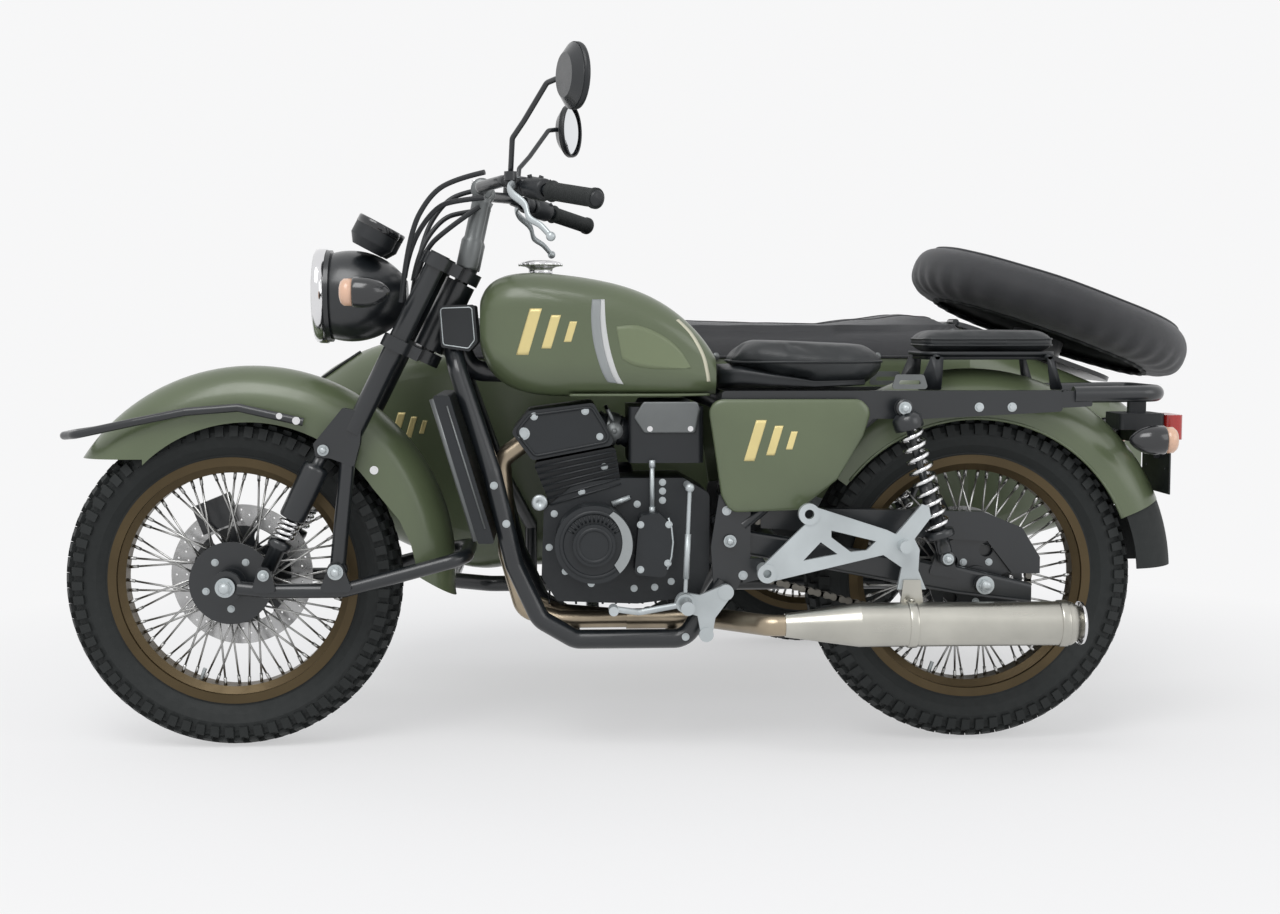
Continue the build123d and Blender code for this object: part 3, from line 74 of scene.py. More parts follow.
def material(name, colour, rough, metal=0.0, coat=0.0, spread=0.12, grain=0.0, size=400.0,
             kind="Noise", sheen=0.0, glass=0.0, stretch=(1, 1, 1)):
    """A surface with its colour varied by spread and its relief by grain, in millimetres.

    size is the relief's cells per metre, and kind its texture: Noise, Voronoi or Checker.
    """
    made = bpy.data.materials.new(name)
    made.use_nodes = True
    tree = made.node_tree
    place = shader_node(tree, "TexCoord").outputs["Object"]
    scaled = shader_node(tree, "Mapping", Vector=place, Scale=stretch).outputs["Vector"]
    cloud = shader_node(tree, "TexNoise", Vector=place, Scale=9.0, Detail=6.0)
    ramp = shader_node(tree, "ValToRGB", cloud.outputs["Fac"])
    low, high = ramp.color_ramp.elements
    low.position, high.position = 0.3, 0.72
    low.color = [c * (1 - spread) for c in colour] + [1]
    high.color = [min(1, c * (1 + spread)) for c in colour] + [1]
    fine = shader_node(tree, "TexNoise", Vector=scaled, Scale=60.0)
    wear = shader_node(tree, "MapRange", fine.outputs["Fac"], To_Min=max(0.03, rough - 0.08),
                       To_Max=min(1.0, rough + 0.08))
    shader = feed(tree, tree.nodes["Principled BSDF"], Base_Color=ramp.outputs["Color"],
                  Roughness=wear.outputs["Result"], Metallic=metal, Coat_Weight=coat,
                  Coat_Roughness=0.18, Sheen_Weight=sheen, Transmission_Weight=glass)
    if grain:
        relief = shader_node(tree, "Tex" + kind, Vector=scaled, Scale=size)
        if kind == "Noise":
            feed(tree, relief, Detail=3.0)
        height = relief.outputs["Distance" if kind == "Voronoi" else "Fac"]
        bump = shader_node(tree, "Bump", Height=height, Strength=1.0, Distance=grain / 1000)
        feed(tree, shader, Normal=bump.outputs["Normal"])
    return made


GREEN = material("olive_paint", (0.1, 0.127, 0.066), 0.36, 0, 0.4, 0.05, 0.02, 500)
BLACK = material("black_powder_coat", (0.0092, 0.0116, 0.014), 0.34, coat=0.45, grain=0.03,
                 size=1400)
ENGINE = material("engine_black", (0.0092, 0.0118, 0.0142), 0.48, grain=0.12, size=900)
GOLD = material("rim_gold", (0.084, 0.06, 0.029), 0.4, 0.7, spread=0.15)
STEEL = material("spoke_steel", (0.45, 0.45, 0.44), 0.3, 1)
STAINLESS = material("stainless", (0.52, 0.51, 0.46), 0.3, 1, grain=0.01, size=300,
                     stretch=(0.1, 1, 1))
BRONZE = material("heated_header", (0.36, 0.3, 0.22), 0.32, 0.95, spread=0.25)
CHROME = material("chrome", (0.75, 0.75, 0.76), 0.1, 1, spread=0.02)
SILVER = material("cast_silver", (0.5, 0.54, 0.55), 0.42, 0.55, grain=0.06, size=900)
RUBBER = material("tyre_rubber", (0.0096, 0.0122, 0.012), 0.7, grain=0.1, size=700)
PLASTIC = material("black_plastic", (0.01, 0.0122, 0.0145), 0.44, grain=0.08, size=1300)
LEATHER = material("seat_leather", (0.013, 0.0155, 0.017), 0.42, grain=0.25, size=650,
                   kind="Voronoi")
CANVAS = material("cover_canvas", (0.02, 0.021, 0.024), 0.62, grain=0.2, size=900,
                  kind="Checker", sheen=0.25)
RED = material("red_lens", (0.42, 0.016, 0.012), 0.2, 0, 0.7, 0.08)
ORANGE = material("orange_lens", (0.74, 0.47, 0.33), 0.25, 0, 0.5, 0.06)
WHITE = material("white_paint", (0.62, 0.63, 0.62), 0.4, 0, 0.2, 0.03)
GREY = material("grey_paint", (0.3, 0.32, 0.32), 0.4, 0, 0.2, 0.03)
MIRROR = material("mirror_glass", (0.8, 0.82, 0.84), 0.04, 1, spread=0.01)
DISC = material("brake_disc", (0.5, 0.5, 0.5), 0.28, 1, grain=0.02, size=900)
GLASS = material("clear_glass", (0.95, 0.97, 0.98), 0.04, spread=0.01, glass=1)
GLOSS_BLACK = material("gloss_black", (0.012, 0.013, 0.015), 0.2, 0, 0.6, 0.08)
DIAL = material("dial_face", (0.03, 0.032, 0.034), 0.5, spread=0.06)
SATIN_GREY = material("satin_grey", (0.16, 0.17, 0.17), 0.4, 0.6, grain=0.03, size=1200)
CREAM = material("cream_line", (0.62, 0.6, 0.46), 0.4, 0, 0.2, 0.04)
PALE_GREEN = material("pale_green_paint", (0.165, 0.2, 0.11), 0.45, 0, 0.2, 0.05)
GOLD_PAINT = material("gold_motif", (0.74, 0.62, 0.28), 0.35, 0.35, spread=0.08)
LINK = material("chain_steel", (0.2, 0.19, 0.17), 0.4, 0.9, spread=0.2, grain=0.05)

for surface, names in (  # for the nodes that nothing below stands for
        (GREEN, "front_fender rear_fender sidecar_fender fuel_tank sidecar_tub"),
        (BLACK, "fork main_frame sidecar_frame swingarm front_swingarm sidecar_swingarm"
                " fender_bumper chain_guard rear_rack front_hub rear_hub sidecar_hub mirrors"
                " boot_lid rear_axle front_axle headlight_shell front_caliper rear_caliper"),
        (ENGINE, "engine_crankcase engine_covers engine_cylinder_head radiator"),
        (GOLD, "front_rim rear_rim sidecar_rim"), (STAINLESS, "silencer"),
        (BRONZE, "exhaust_pipe"), (SILVER, "footrest_brackets"), (RUBBER, "mudflap"),
        (PLASTIC, "gauge_pods tail_light airbox head_covers"), (RED, "tail_lens")):
    for name in names.split():
        NODES[name].data.materials.clear()
        NODES[name].data.materials.append(surface)


# ---------------------------------------------------------------- ways of making a piece
def placed(name, data, surface, body, stands_for=""):
    """An object that rides on a body in place of the nodes that it stands for."""
    data.materials.append(surface)
    made = bpy.data.objects.new(name, data)
    bpy.context.collection.objects.link(made)
    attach(made, body)
    if stands_for:
        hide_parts(*stands_for.split())
    return made


def piece(name, verts, faces, surface, body="chassis", stands_for="", smooth=True):
    mesh = bpy.data.meshes.new(name)
    mesh.from_pydata([tuple(v) for v in verts], [], faces)
    mesh.validate()
    mesh.polygons.foreach_set("use_smooth", [smooth] * len(mesh.polygons))
    return placed(name, mesh, surface, body, stands_for)


def square_to(direction):
    """Two unit vectors square to a direction and to each other."""
    along = Vector(direction).normalized()
    side = along.cross(Z if abs(along.z) < 0.9 else X).normalized()
    return side, along.cross(side).normalized()


def turns(count):
    return [2 * pi * k / count for k in range(count)]


def spin(across, up, angle):
    """The way that lies at an angle from across towards up."""
    return across * cos(angle) + up * sin(angle)


def about(centre, radius, angle, y=0.0):
    """A place on a circle about a line across the machine through centre, y along the line."""
    return centre + Vector((radius * cos(angle), y, radius * sin(angle))) / 1000


def ball(radius):
    """A profile that turns into a ball."""
    return [(radius * cos(radians(a)), radius * sin(radians(a))) for a in range(-90, 91, 15)]


class Mesh:
    """Collects the verts and faces of a piece of many small forms; each method returns it."""

    def __init__(self):
        self.verts, self.faces = [], []

    def ring_run(self, rings, closed=False):
        """Skins rings of equal length one after the other, and caps the ends unless closed."""
        first, count = len(self.verts), len(rings[0])
        for ring in rings:
            self.verts += ring
        for i in range(len(rings) - (not closed)):
            a, b = first + i * count, first + (i + 1) % len(rings) * count
            self.faces += [(a + j, a + (j + 1) % count, b + (j + 1) % count, b + j)
                           for j in range(count)]
        if not closed:
            last = len(self.verts) - count
            self.faces += [tuple(range(first + count - 1, first - 1, -1)),
                           tuple(range(last, last + count))]
        return self

    def rod(self, start, end, radius, sides=8, end_radius=None):
        side, up = square_to(end - start)
        return self.ring_run([[p + spin(side, up, a) * (r / 1000) for a in turns(sides)]
                              for p, r in ((start, radius), (end, end_radius or radius))])

    def stub(self, place, axis, low, high, radius, sides=8, end_radius=None):
        """A rod along an axis, from low to high beyond a place."""
        return self.rod(place + axis * (low / 1000), place + axis * (high / 1000), radius, sides,
                        end_radius)

    def tube(self, points, radius, sides=10, closed=False):
        """A tube through points, its rings kept from twisting."""
        rings, side, count = [], None, len(points)
        for i, p in enumerate(points):
            ahead = points[(i + 1) % count] if closed or i + 1 < count else p
            behind = points[i - 1] if closed or i else p
            along = (ahead - behind).normalized()
            side = side or square_to(along)[0]
            side = (side - along * side.dot(along)).normalized()
            up = along.cross(side)
            rings.append([p + spin(side, up, a) * (radius / 1000) for a in turns(sides)])
        return self.ring_run(rings, closed)

    def turned(self, centre, axis, profile, steps=48, closed=False):
        """Turns (radius, along) pairs about an axis through centre."""
        axis = Vector(axis).normalized()
        side, up = square_to(axis)
        first, count = len(self.verts), len(profile)
        for angle in turns(steps):
            out = spin(side, up, angle)
            self.verts += [centre + out * (r / 1000) + axis * (h / 1000) for r, h in profile]
        for i in range(steps):
            a, b = first + i * count, first + (i + 1) % steps * count
            self.faces += [(a + j, b + j, b + (j + 1) % count, a + (j + 1) % count)
                           for j in range(count - (not closed))]
        return self

    def pair(self, x, y, z, axis, profile, steps=32, closed=False):
        """Turns a profile at (x, y, z) and mirrors it to the other side of the machine."""
        for side in SIDES:
            self.turned(at(x, side * y, z), (axis[0], side * axis[1], axis[2]), profile, steps,
                        closed)
        return self

    def bolt(self, place, axis, radius, height):
        """A hexagonal bolt head on a washer."""
        axis = Vector(axis).normalized()
        self.stub(place, axis, 0, height * 0.3, radius * 1.5, 16)
        return self.stub(place, axis, height * 0.3, height, radius, 6)

    def done(self, name, surface, body="chassis", stands_for="", smooth=True):
        return piece(name, self.verts, self.faces, surface, body, stands_for, smooth)


def smooth_path(points, steps=8):
    """Catmull-Rom through points, steps to a span."""
    out, count = [], len(points)
    for i in range(count - 1):
        p = [points[min(max(i + k, 0), count - 1)] for k in (-1, 0, 1, 2)]
        for s in range(steps):
            t = s / steps
            out.append(0.5 * (2 * p[1] + (p[2] - p[0]) * t
                              + (2 * p[0] - 5 * p[1] + 4 * p[2] - p[3]) * t * t
                              + (3 * p[1] - p[0] - 3 * p[2] + p[3]) * t ** 3))
    return out + [points[-1]]


def corner(a, b, c, bend, steps=6):
    """An arc of radius bend, or less where the sides are short, for the corner at b."""
    u, w = (a - b).normalized(), (c - b).normalized()
    half = acos(max(-1.0, min(1.0, u.dot(w)))) / 2
    back = min(bend / tan(half), 0.45 * (a - b).length, 0.45 * (c - b).length)
    centre = b + (u + w).normalized() * back / cos(half)
    start, end = b + u * back - centre, b + w * back - centre
    return [centre + start.slerp(end, k / steps).normalized() * start.length
            for k in range(steps + 1)]


def rounded(outline, bend):
    """An (x, z) outline with its corners rounded, as a closed list of Vectors."""
    points = [Vector(p) for p in outline]
    return [p for i, b in enumerate(points)
            for p in corner(points[i - 1], b, points[(i + 1) % len(points)], bend)]


def stood(p, y):
    """The place at y of an (x, z) Vector."""
    return at(p.x, y, p.y)


def crowned(made, outline, profile):
    """Rings of an outline on both sides: profile is (share of the outline's size, y)."""
    middle = sum(outline, Vector((0, 0))) / len(outline)
    for side in SIDES:
        made.ring_run([[stood(middle + (p - middle) * share, side * y) for p in outline]
                       for share, y in profile])


# ---------------------------------------------------------------- finding the CAD's surfaces
TREES = {}


def meet(node, start, aim):
    """Where a ray meets a node or piece, and the way out of its surface there, or None."""
    if node not in TREES:
        mesh = (NODES.get(node) or bpy.data.objects[node]).data
        TREES[node] = BVHTree.FromPolygons([v.co for v in mesh.vertices],
                                           [p.vertices for p in mesh.polygons])
    place, way, _, _ = TREES[node].ray_cast(start, aim)
    return place and (place, way if way.dot(aim) < 0 else -way)


def cast(nodes, start, aim):
    """The first meeting of a ray with any of some nodes, their names parted by spaces."""
    found = [hit for hit in (meet(node, start, aim) for node in nodes.split()) if hit]
    if not found:
        raise ValueError(f"nothing of {nodes} lies ahead of {tuple(start)}")
    return min(found, key=lambda hit: (hit[0] - start).length)


def beside(nodes, x, z, side=-1, middle=0):
    """Where a line across the machine at (x, z) first meets nodes, from the left or the right."""
    return cast(nodes, at(x, middle + side * REACH, z), Y * -side)


def studs(groups, sides=SIDES):
    """Each (x, z, radius) row of {nodes: rows} as a place on a side, the way out and the radius."""
    return [(beside(nodes, x, z, side)[0], Y * side, radius)
            for nodes, rows in groups.items() for x, z, radius in rows for side in sides]


def bolts(name, surface, groups, body="chassis", sides=SIDES):
    made = Mesh()
    for place, out, radius in studs(groups, sides):
        made.bolt(place, out, radius, radius / 1.3)
    made.done(name, surface, body, smooth=False)


def nuts(name, groups, body="chassis"):
    """Domed nuts on washers, on both sides."""
    made = Mesh()
    for place, out, radius in studs(groups):
        top = 2 + radius * 0.7
        made.stub(place, out, 0, 2, radius * 1.35, 24).stub(place, out, 2, top, radius, 6)
        made.turned(place + out * (top / 1000), out, [
            (radius * 0.82 * cos(a), radius * 0.6 * sin(a)) for a in (0, 0.4, 0.8, 1.2, 1.57)], 20)
    made.done(name, SILVER, body, smooth=False)


def painted(name, surface, node, edges, body="chassis", across=8, middle=0, lift=0.5, steps=6):
    """A painted area on a node's sides between two (x, z) lines, as a film of lift millimetres."""
    made = Mesh()
    low, high = [smooth_path([Vector(p) for p in line], steps) for line in edges]
    for side in SIDES:
        rings = []
        for a, b in zip(low, high):
            found = [beside(node, *a.lerp(b, j / across), side, middle)
                     for j in range(across + 1)]
            rings.append([place + way * lift / 1000 for place, way in found]
                         + [place - way * lift / 1000 for place, way in reversed(found)])
        made.ring_run(rings)
    made.done(name, surface, body)


def cut_out(name, surface, body, centre, way, loops, thick):
    """A plate square to Y: loops are (x, z) outlines, the outer first; way is where z grows."""
    curve = bpy.data.curves.new(name, "CURVE")
    curve.dimensions, curve.fill_mode, curve.extrude = "2D", "BOTH", thick / 2000
    for loop in loops:
        line = curve.splines.new("POLY")
        line.points.add(len(loop) - 1)
        for point, (u, v) in zip(line.points, loop):
            point.co = (u / 1000, v / 1000, 0, 1)
        line.use_cyclic_u = True
    holder = bpy.data.objects.new(name, curve)
    mesh = bpy.data.meshes.new_from_object(holder)
    bpy.data.objects.remove(holder)
    bpy.data.curves.remove(curve)
    along = Y * way
    turn = Matrix((X, along.cross(X), along)).transposed()
    verts = [centre + turn @ v.co for v in mesh.vertices]
    faces = [tuple(p.vertices) for p in mesh.polygons]
    bpy.data.meshes.remove(mesh)
    piece(name, verts, faces, surface, body, smooth=False)


def circle(radius, u=0.0, v=0.0, steps=24):
    return [(u + radius * cos(a), v + radius * sin(a)) for a in turns(steps)]


# ---------------------------------------------------------------- wheels
WHEELS = (("front", at(-725, 0, 327)), ("rear", at(725, 0, 327)), ("sidecar", at(545, 1080, 327)))
KNOB, PITCHES = 9, 66
# the carcass from bead to bead: (radius, y)
SECTION = [(230, 34), (246, 35), (262, 46), (278, 52.5), (292, 53), (303, 48), (312, 34),
           (316.5, 17)]
SECTION += [(318, 0)] + [(r, -y) for r, y in reversed(SECTION)]
# knob rows: start and end along the section, in steps of it, turn in pitches, length in pitches
KNOB_ROWS = ((3.4, 4.9, 0.0, 0.66), (5.3, 6.5, 0.5, 0.62), (6.8, 7.8, 0.05, 0.6),
             (8.2, 9.2, 0.55, 0.6), (9.5, 10.7, 0.0, 0.62), (11.1, 12.6, 0.5, 0.66))


def on_section(t):
    """The carcass's radius and y at t steps along its section, and the way out of it."""
    i = min(int(t), len(SECTION) - 2)
    (r0, y0), (r1, y1) = SECTION[i], SECTION[i + 1]
    length = sqrt((r1 - r0) ** 2 + (y1 - y0) ** 2)
    return (r0 + (r1 - r0) * (t - i), y0 + (y1 - y0) * (t - i),
            -(y1 - y0) / length, (r1 - r0) / length)


def tyre(name, centre):
    made = Mesh().turned(centre, Y, SECTION, 96)
    side, up = square_to(Y)
    for start, end, turn, length in KNOB_ROWS:
        for k in range(PITCHES):
            base, top = [], []
            for t, a, inward, slim in (
                    (start, 0, 0.06, 0.04), (end, 0, -0.06, 0.04),
                    (end, length, -0.06, -0.04), (start, length, 0.06, -0.04)):
                for ring, height, dt, da in ((base, -2, 0, 0), (top, KNOB, inward, slim)):
                    r, y, out_r, out_y = on_section(t + dt)
                    aim = spin(side, up, 2 * pi * (k + turn + a + da) / PITCHES)
                    ring.append(centre + aim * ((r + out_r * height) / 1000)
                                + Y * ((y + out_y * height) / 1000))
            made.ring_run([base, top])
    made.done(name + "_knobby_tyre", RUBBER, name + "_wheel", name + "_tyre", smooth=False)


HEAD_R, FLANGE_Y, RIM_IN, RIM_Y, SPOKES, LEAN = 59, 35, 213, 10, 30, 24


def spokes(name, centre):
    """Spokes in two crossed layers on each side, with nipples at the rim and heads at the hub."""
    made = Mesh()
    for side in SIDES:
        for layer in (1, -1):
            for k in range(SPOKES // 2):
                first = 2 * pi / SPOKES * ((layer < 0) + side * 0.25 + 0.25 + 2 * k)
                last = first + radians(LEAN) * layer
                foot = about(centre, HEAD_R, first, side * (FLANGE_Y + layer * 4))
                tip = about(centre, RIM_IN, last, side * (RIM_Y + layer * 4))
                along = (tip - foot).normalized()
                made.rod(foot, tip, 2.1).stub(tip, along, -18, 0, 3.4, 6)
                made.stub(foot, along, -3, 3, 4.2)
    made.done(name + "_wire_spokes", STEEL, name + "_wheel", name + "_spokes")


for name, centre in WHEELS:
    tyre(name, centre)
    spokes(name, centre)

# the bright rings of the brake discs, with three rows of holes
DISC_Y = 62.8
for (name, centre), radius in zip(WHEELS, (140, 130)):
    loops = [circle(radius + 0.4, steps=96), circle(radius - 42, steps=72)]
    for inset, turn in ((10, 0), (20, 7.5), (30, 0)):
        for k in range(24):
            angle = radians(15 * k + turn)
            loops.append(circle(2.2, (radius - inset) * cos(angle),
                                (radius - inset) * sin(angle), 8))
    cut_out(name + "_disc_face", DISC, name + "_wheel", centre + Y * DISC_Y / 1000, 1, loops, 5.8)

# the hub covers' bolts, by the y of the face and the pitch radius, and the tyre's valve
for (name, centre), (face, pitch) in zip(WHEELS, ((-66, 50), (-87, 43), (-59, 46))):
    made = Mesh()
    for k in range(5):
        made.bolt(about(centre, pitch, radians(90 + 72 * (k + 0.5)), face), -Y, 4.8, 4)
    valve = about(centre, 190, radians(250))
    made.stub(valve, (valve - centre).normalized(), 0, 24, 4, 10)
    made.done(name + "_hub_bolts", SILVER, name + "_wheel", smooth=False)

# ---------------------------------------------------------------- fork and front end
nuts("fork_pivot_nuts", {
    "front_axle": [(-725, 327, 14)], "front_swingarm": [(-515, 357, 11), (-651, 351, 8)],
    "fork": [(-537, 588, 8)]}, "steering")
nuts("rear_pivot_nuts", {
    "rear_axle": [(725, 327, 13)], "main_frame": [(563, 668, 9)],
    "swingarm": [(649, 380, 8), (236, 412, 9)]})
bolts("fender_stay_bolts", CHROME, {
    "fender_bumper": [(-622, 652, 4), (-590, 643, 5)], "front_fender": [(-446, 546, 5.5)]},
    "steering")
bolts("frame_bolts", SILVER, {"main_frame": [
    (718, 667, 6), (782, 667, 6), (151, 228, 5), (-214, 521, 5), (-191, 448, 5), (262, 345, 6),
    (230, 470, 6)]})

# the headlamp, from the middle of its shell's rim
LAMP = at(-550, 0, 881)
Mesh().turned(LAMP, X, [
    (82, -4), (83.5, -9), (86.5, -11.5), (90, -9), (91.7, -3), (91.7, 11), (89.3, 11),
    (89.3, -0.2), (82, -0.2)], 72, True).done("headlamp_ring", CHROME, "steering")
Mesh().turned(LAMP, X, [
    (0, -16.5), (22, -16), (44, -14), (63, -10.5), (76, -7), (82.2, -3.5), (82.2, -1.8),
    (62, -8.5), (43, -12.2), (0, -14.5)], 72).done(
    "headlamp_glass", GLASS, "steering", "headlight_lens")
dish = [(0, -1.2)] + [(8 * k, -1.2 - 0.9 * (k % 2)) for k in range(1, 11)]
Mesh().turned(LAMP, X, dish, 72).turned(
    LAMP - X * 0.003, -X, [(11, 0), (11, 4), (6, 8), (0, 8.5)], 24).done(
    "headlamp_reflector", CHROME, "steering", "headlight_lens")

# bullet lamps: x, y and z of the lens, y of the stem's foot, and the way along X that they face
for name, x, y, z, stem_y, way, body in (
        ("front_indicator", -486, 190, 885, 118, -1, "steering"),
        ("rear_indicator", 1088, 150, 604, 51, 1, "chassis")):
    Mesh().pair(x, y, z, X * way, [
        (0, 9), (12, 8.5), (20, 6), (25.2, 0), (25.5, -18), (0, -18)]).done(
        name + "_lenses", ORANGE, body, name + "s")
    shell = Mesh().pair(x, y, z, X * way, [
        (0, -16), (27.2, -16), (28.5, -19), (28.7, -34), (27.2, -48), (22.5, -62), (15, -74),
        (7, -82), (0, -85)])
    for side in SIDES:
        head, collar, foot = [at(x - way * 34, side * v, z) for v in (y - 10, stem_y + 10, stem_y)]
        shell.rod(head, foot, 7.5, 14).rod(collar, foot, 11.5, 14)
    shell.done(name + "_bodies", GLOSS_BLACK, body, name + "s")

# gauges, with the way that they look
GAUGE, GAUGE_UP = (-433, 50, 1015), Vector((0.47, 0, 0.883)).normalized()
down = -GAUGE_UP.cross(Y)
Mesh().pair(*GAUGE, GAUGE_UP, [
    (38.5, 0.5), (39.5, 4), (41.5, 5), (43.5, 3), (43.7, -10), (38.5, -10)], 48, True).done(
    "gauge_bezels", GLOSS_BLACK, "steering")
Mesh().pair(*GAUGE, GAUGE_UP, [(0, 0.8), (38.8, 0.8), (38.8, -1)], 48).done(
    "gauge_dials", DIAL, "steering")
ticks = Mesh()
for side in SIDES:
    face = at(GAUGE[0], side * GAUGE[1], GAUGE[2])
    for k in range(31):
        ticks.stub(face + GAUGE_UP * 0.001, spin(down, Y, radians(-135 + 9 * k)),
                   32 if k % 5 else 29, 36, 0.6, 4)
    ticks.stub(face + GAUGE_UP * 0.0016, spin(down, Y, radians(-120)), -6, 26, 0.9, 4, 0.4)
ticks.done("gauge_ticks", WHITE, "steering", smooth=False)
Mesh().pair(*GAUGE, GAUGE_UP, [(0, 4.4), (20, 4), (38.8, 3), (38.8, 2.2), (0, 3.6)], 48).done(
    "gauge_glasses", GLASS, "steering")


# ---------------------------------------------------------------- handlebar and controls
def at_bar(side, x, y, z):
    """A place beside the bar, measured from where the left grip begins."""
    return at(GRIP_IN[0] + x, side * (GRIP_IN[1] + y), GRIP_IN[2] + z)


BAR_X, BAR_Z, RISER_Y = -236, 1084, 60
GRIP_IN, GRIP_OUT = (BAR_X + 124, -306, BAR_Z - 20), (BAR_X + 210, -415, BAR_Z - 42)
half_bar = [GRIP_OUT, GRIP_IN, (BAR_X + 46, -225, BAR_Z + 3), (BAR_X, -120, BAR_Z)]
line = [at(*p) for p in half_bar + [(x, -y, z) for x, y, z in half_bar[::-1]]]
bends = [p for a, b, c in zip(line, line[1:], line[2:]) for p in corner(a, b, c, 0.030)]
bar = Mesh().tube([line[0]] + bends + [line[-1]], 11, 20)
bar.done("handlebar_tube", BLACK, "steering", "handlebar")
Mesh().pair(-267, RISER_Y, 934, (BAR_X + 267, 0, BAR_Z - 944), [
    (0, 0), (19.5, 0), (20.5, 4), (20.5, 52), (18.5, 56), (16.5, 60), (16.5, 128), (19, 138),
    (0, 142)]).pair(BAR_X, RISER_Y - 15, BAR_Z, Y, [
    (11.2, 0), (20.5, 1), (21.2, 4), (21.2, 26), (20.5, 29), (11.2, 30)]).done(
    "handlebar_risers", SATIN_GREY, "steering", "handlebar")
caps, levers, pods, rubber, ends = [Mesh() for _ in range(5)]
for y in (-RISER_Y - 8, -RISER_Y + 8, RISER_Y - 8, RISER_Y + 8):
    for x, lean in ((15, 0.45), (-14, -0.45)):
        caps.bolt(at(BAR_X + x, y, BAR_Z + 12), (lean, 0, 0.89), 3.8, 6)
caps.done("riser_bolts", CHROME, "steering", smooth=False)

LEVER = ((-56, 44, 16), (-66, 12, 6), (-60, -16, -8), (-38, -38, -28), (-30, -52, -52),
         (-10, -68, -66), (8, -84, -86))
for side in (1, -1):
    line = smooth_path([at_bar(side, *p) for p in LEVER], 6)
    rings = []
    for i, p in enumerate(line):
        along = (line[min(i + 1, len(line) - 1)] - line[max(i - 1, 0)]).normalized()
        flat = along.cross(Z).normalized()
        tall = flat.cross(along) * (0.0088 - 0.0036 * i / len(line))
        rings.append([p + spin(flat * 0.0042, tall, a) for a in turns(12)])
    levers.ring_run(rings).turned(line[-1], Z, ball(8.5), 20)
    levers.bolt(at_bar(side, -56, 44, 25), Z, 5.5, 5)
    inner, outer = [at(x, side * y, z) for x, y, z in (GRIP_IN, GRIP_OUT)]
    aim, length = (outer - inner).normalized(), (outer - inner).length * 1000
    switch = inner - aim * 0.052
    pods.rod(at_bar(side, -72, 60, 22), at_bar(side, -52, 36, 14), 12.5, 16, 10.5)
    pods.turned(switch, aim, [(11.5, 0), (18.5, 1), (20.5, 5), (20.5, 46), (18.5, 50),
                              (12.5, 52)], 28)
    pods.turned(switch - aim * 0.030, aim, [(11.5, 0), (16.5, 1), (17.5, 4), (17.5, 18),
                                            (16.5, 21), (11.5, 22)], 28)
    for k, tilt in enumerate((-0.6, 0.1, 0.8)):
        out = Vector((0.9 * sin(tilt) + 0.3, 0, cos(tilt))).normalized()
        pods.stub(switch + aim * (0.012 + 0.012 * k), out, 18, 24.5, 4.5, 10)
    ribs = [length * (0.15 + 0.8 * k / 22) for k in range(22)]
    rubber.turned(inner, aim, (
        [(11.3, length * 0.11), (18.5, length * 0.11), (19.5, length * 0.13)]
        + [(r, start + step) for start in ribs
           for r, step in ((16.5, 0), (16.5, 3.5), (15.5, 4), (15.5, 4.7))]
        + [(18.5, length * 0.965), (18.5, length * 1.005), (0, length * 1.005)]), 32)
    ends.turned(inner, aim, [(r, length * share) for r, share in (
        (0, 1.005), (14.5, 1.005), (15, 1.02), (11.5, 1.045), (0, 1.05))], 28)
levers.done("brake_and_clutch_levers", SILVER, "steering", "handlebar")
pods.done("switch_housings", PLASTIC, "steering", "handlebar")
rubber.done("ribbed_grips", RUBBER, "steering", "grips")
ends.done("grip_ends", PLASTIC, "steering", "grips")
Mesh().turned(at(BAR_X + 53, 233, BAR_Z + 10), (0.1, 0, 1), [
    (0, 0), (17, 0), (22, 4), (22.5, 26), (24.5, 28), (24.5, 36), (0, 36)], 28).rod(
    at(BAR_X + 53, 233, BAR_Z + 12), at(BAR_X + 46, 228, BAR_Z), 12, 14).done(
    "brake_fluid_cup", PLASTIC, "steering", "handlebar")

# glass let into the faces of the CAD's mirrors
MIRROR_FACE = (BAR_X + 168, -430, BAR_Z + 165), (0.93, 0.36, 0)
Mesh().pair(*MIRROR_FACE[0], MIRROR_FACE[1], [
    (0, 11.2), (35, 10.9), (53.5, 10.2), (53.5, 9)], 64).done("mirror_glasses", MIRROR, "steering")
Mesh().pair(*MIRROR_FACE[0], MIRROR_FACE[1], [
    (53, 9.8), (53.5, 12.5), (56, 12.8), (57.2, 10), (57.2, 2), (56.2, 2), (56.2, 9.8)], 64,
    True).done("mirror_rims", PLASTIC, "steering")


# ---------------------------------------------------------------- springs
def coil(made, foot, top, radius, wire, count):
    """A coil spring of round wire between two places, its last turns closed flat."""
    along, steps, line = top - foot, 20 * count, []
    side, up = square_to(along)
    for i in range(steps + 1):
        share = i / steps
        rise = share + 0.35 / count * (sin(pi * (share - 0.5)) - 2 * (share - 0.5))
        line.append(foot + along * rise + spin(side, up, 2 * pi * count * share)
                    * (radius / 1000))
    made.tube(line, wire, 10)


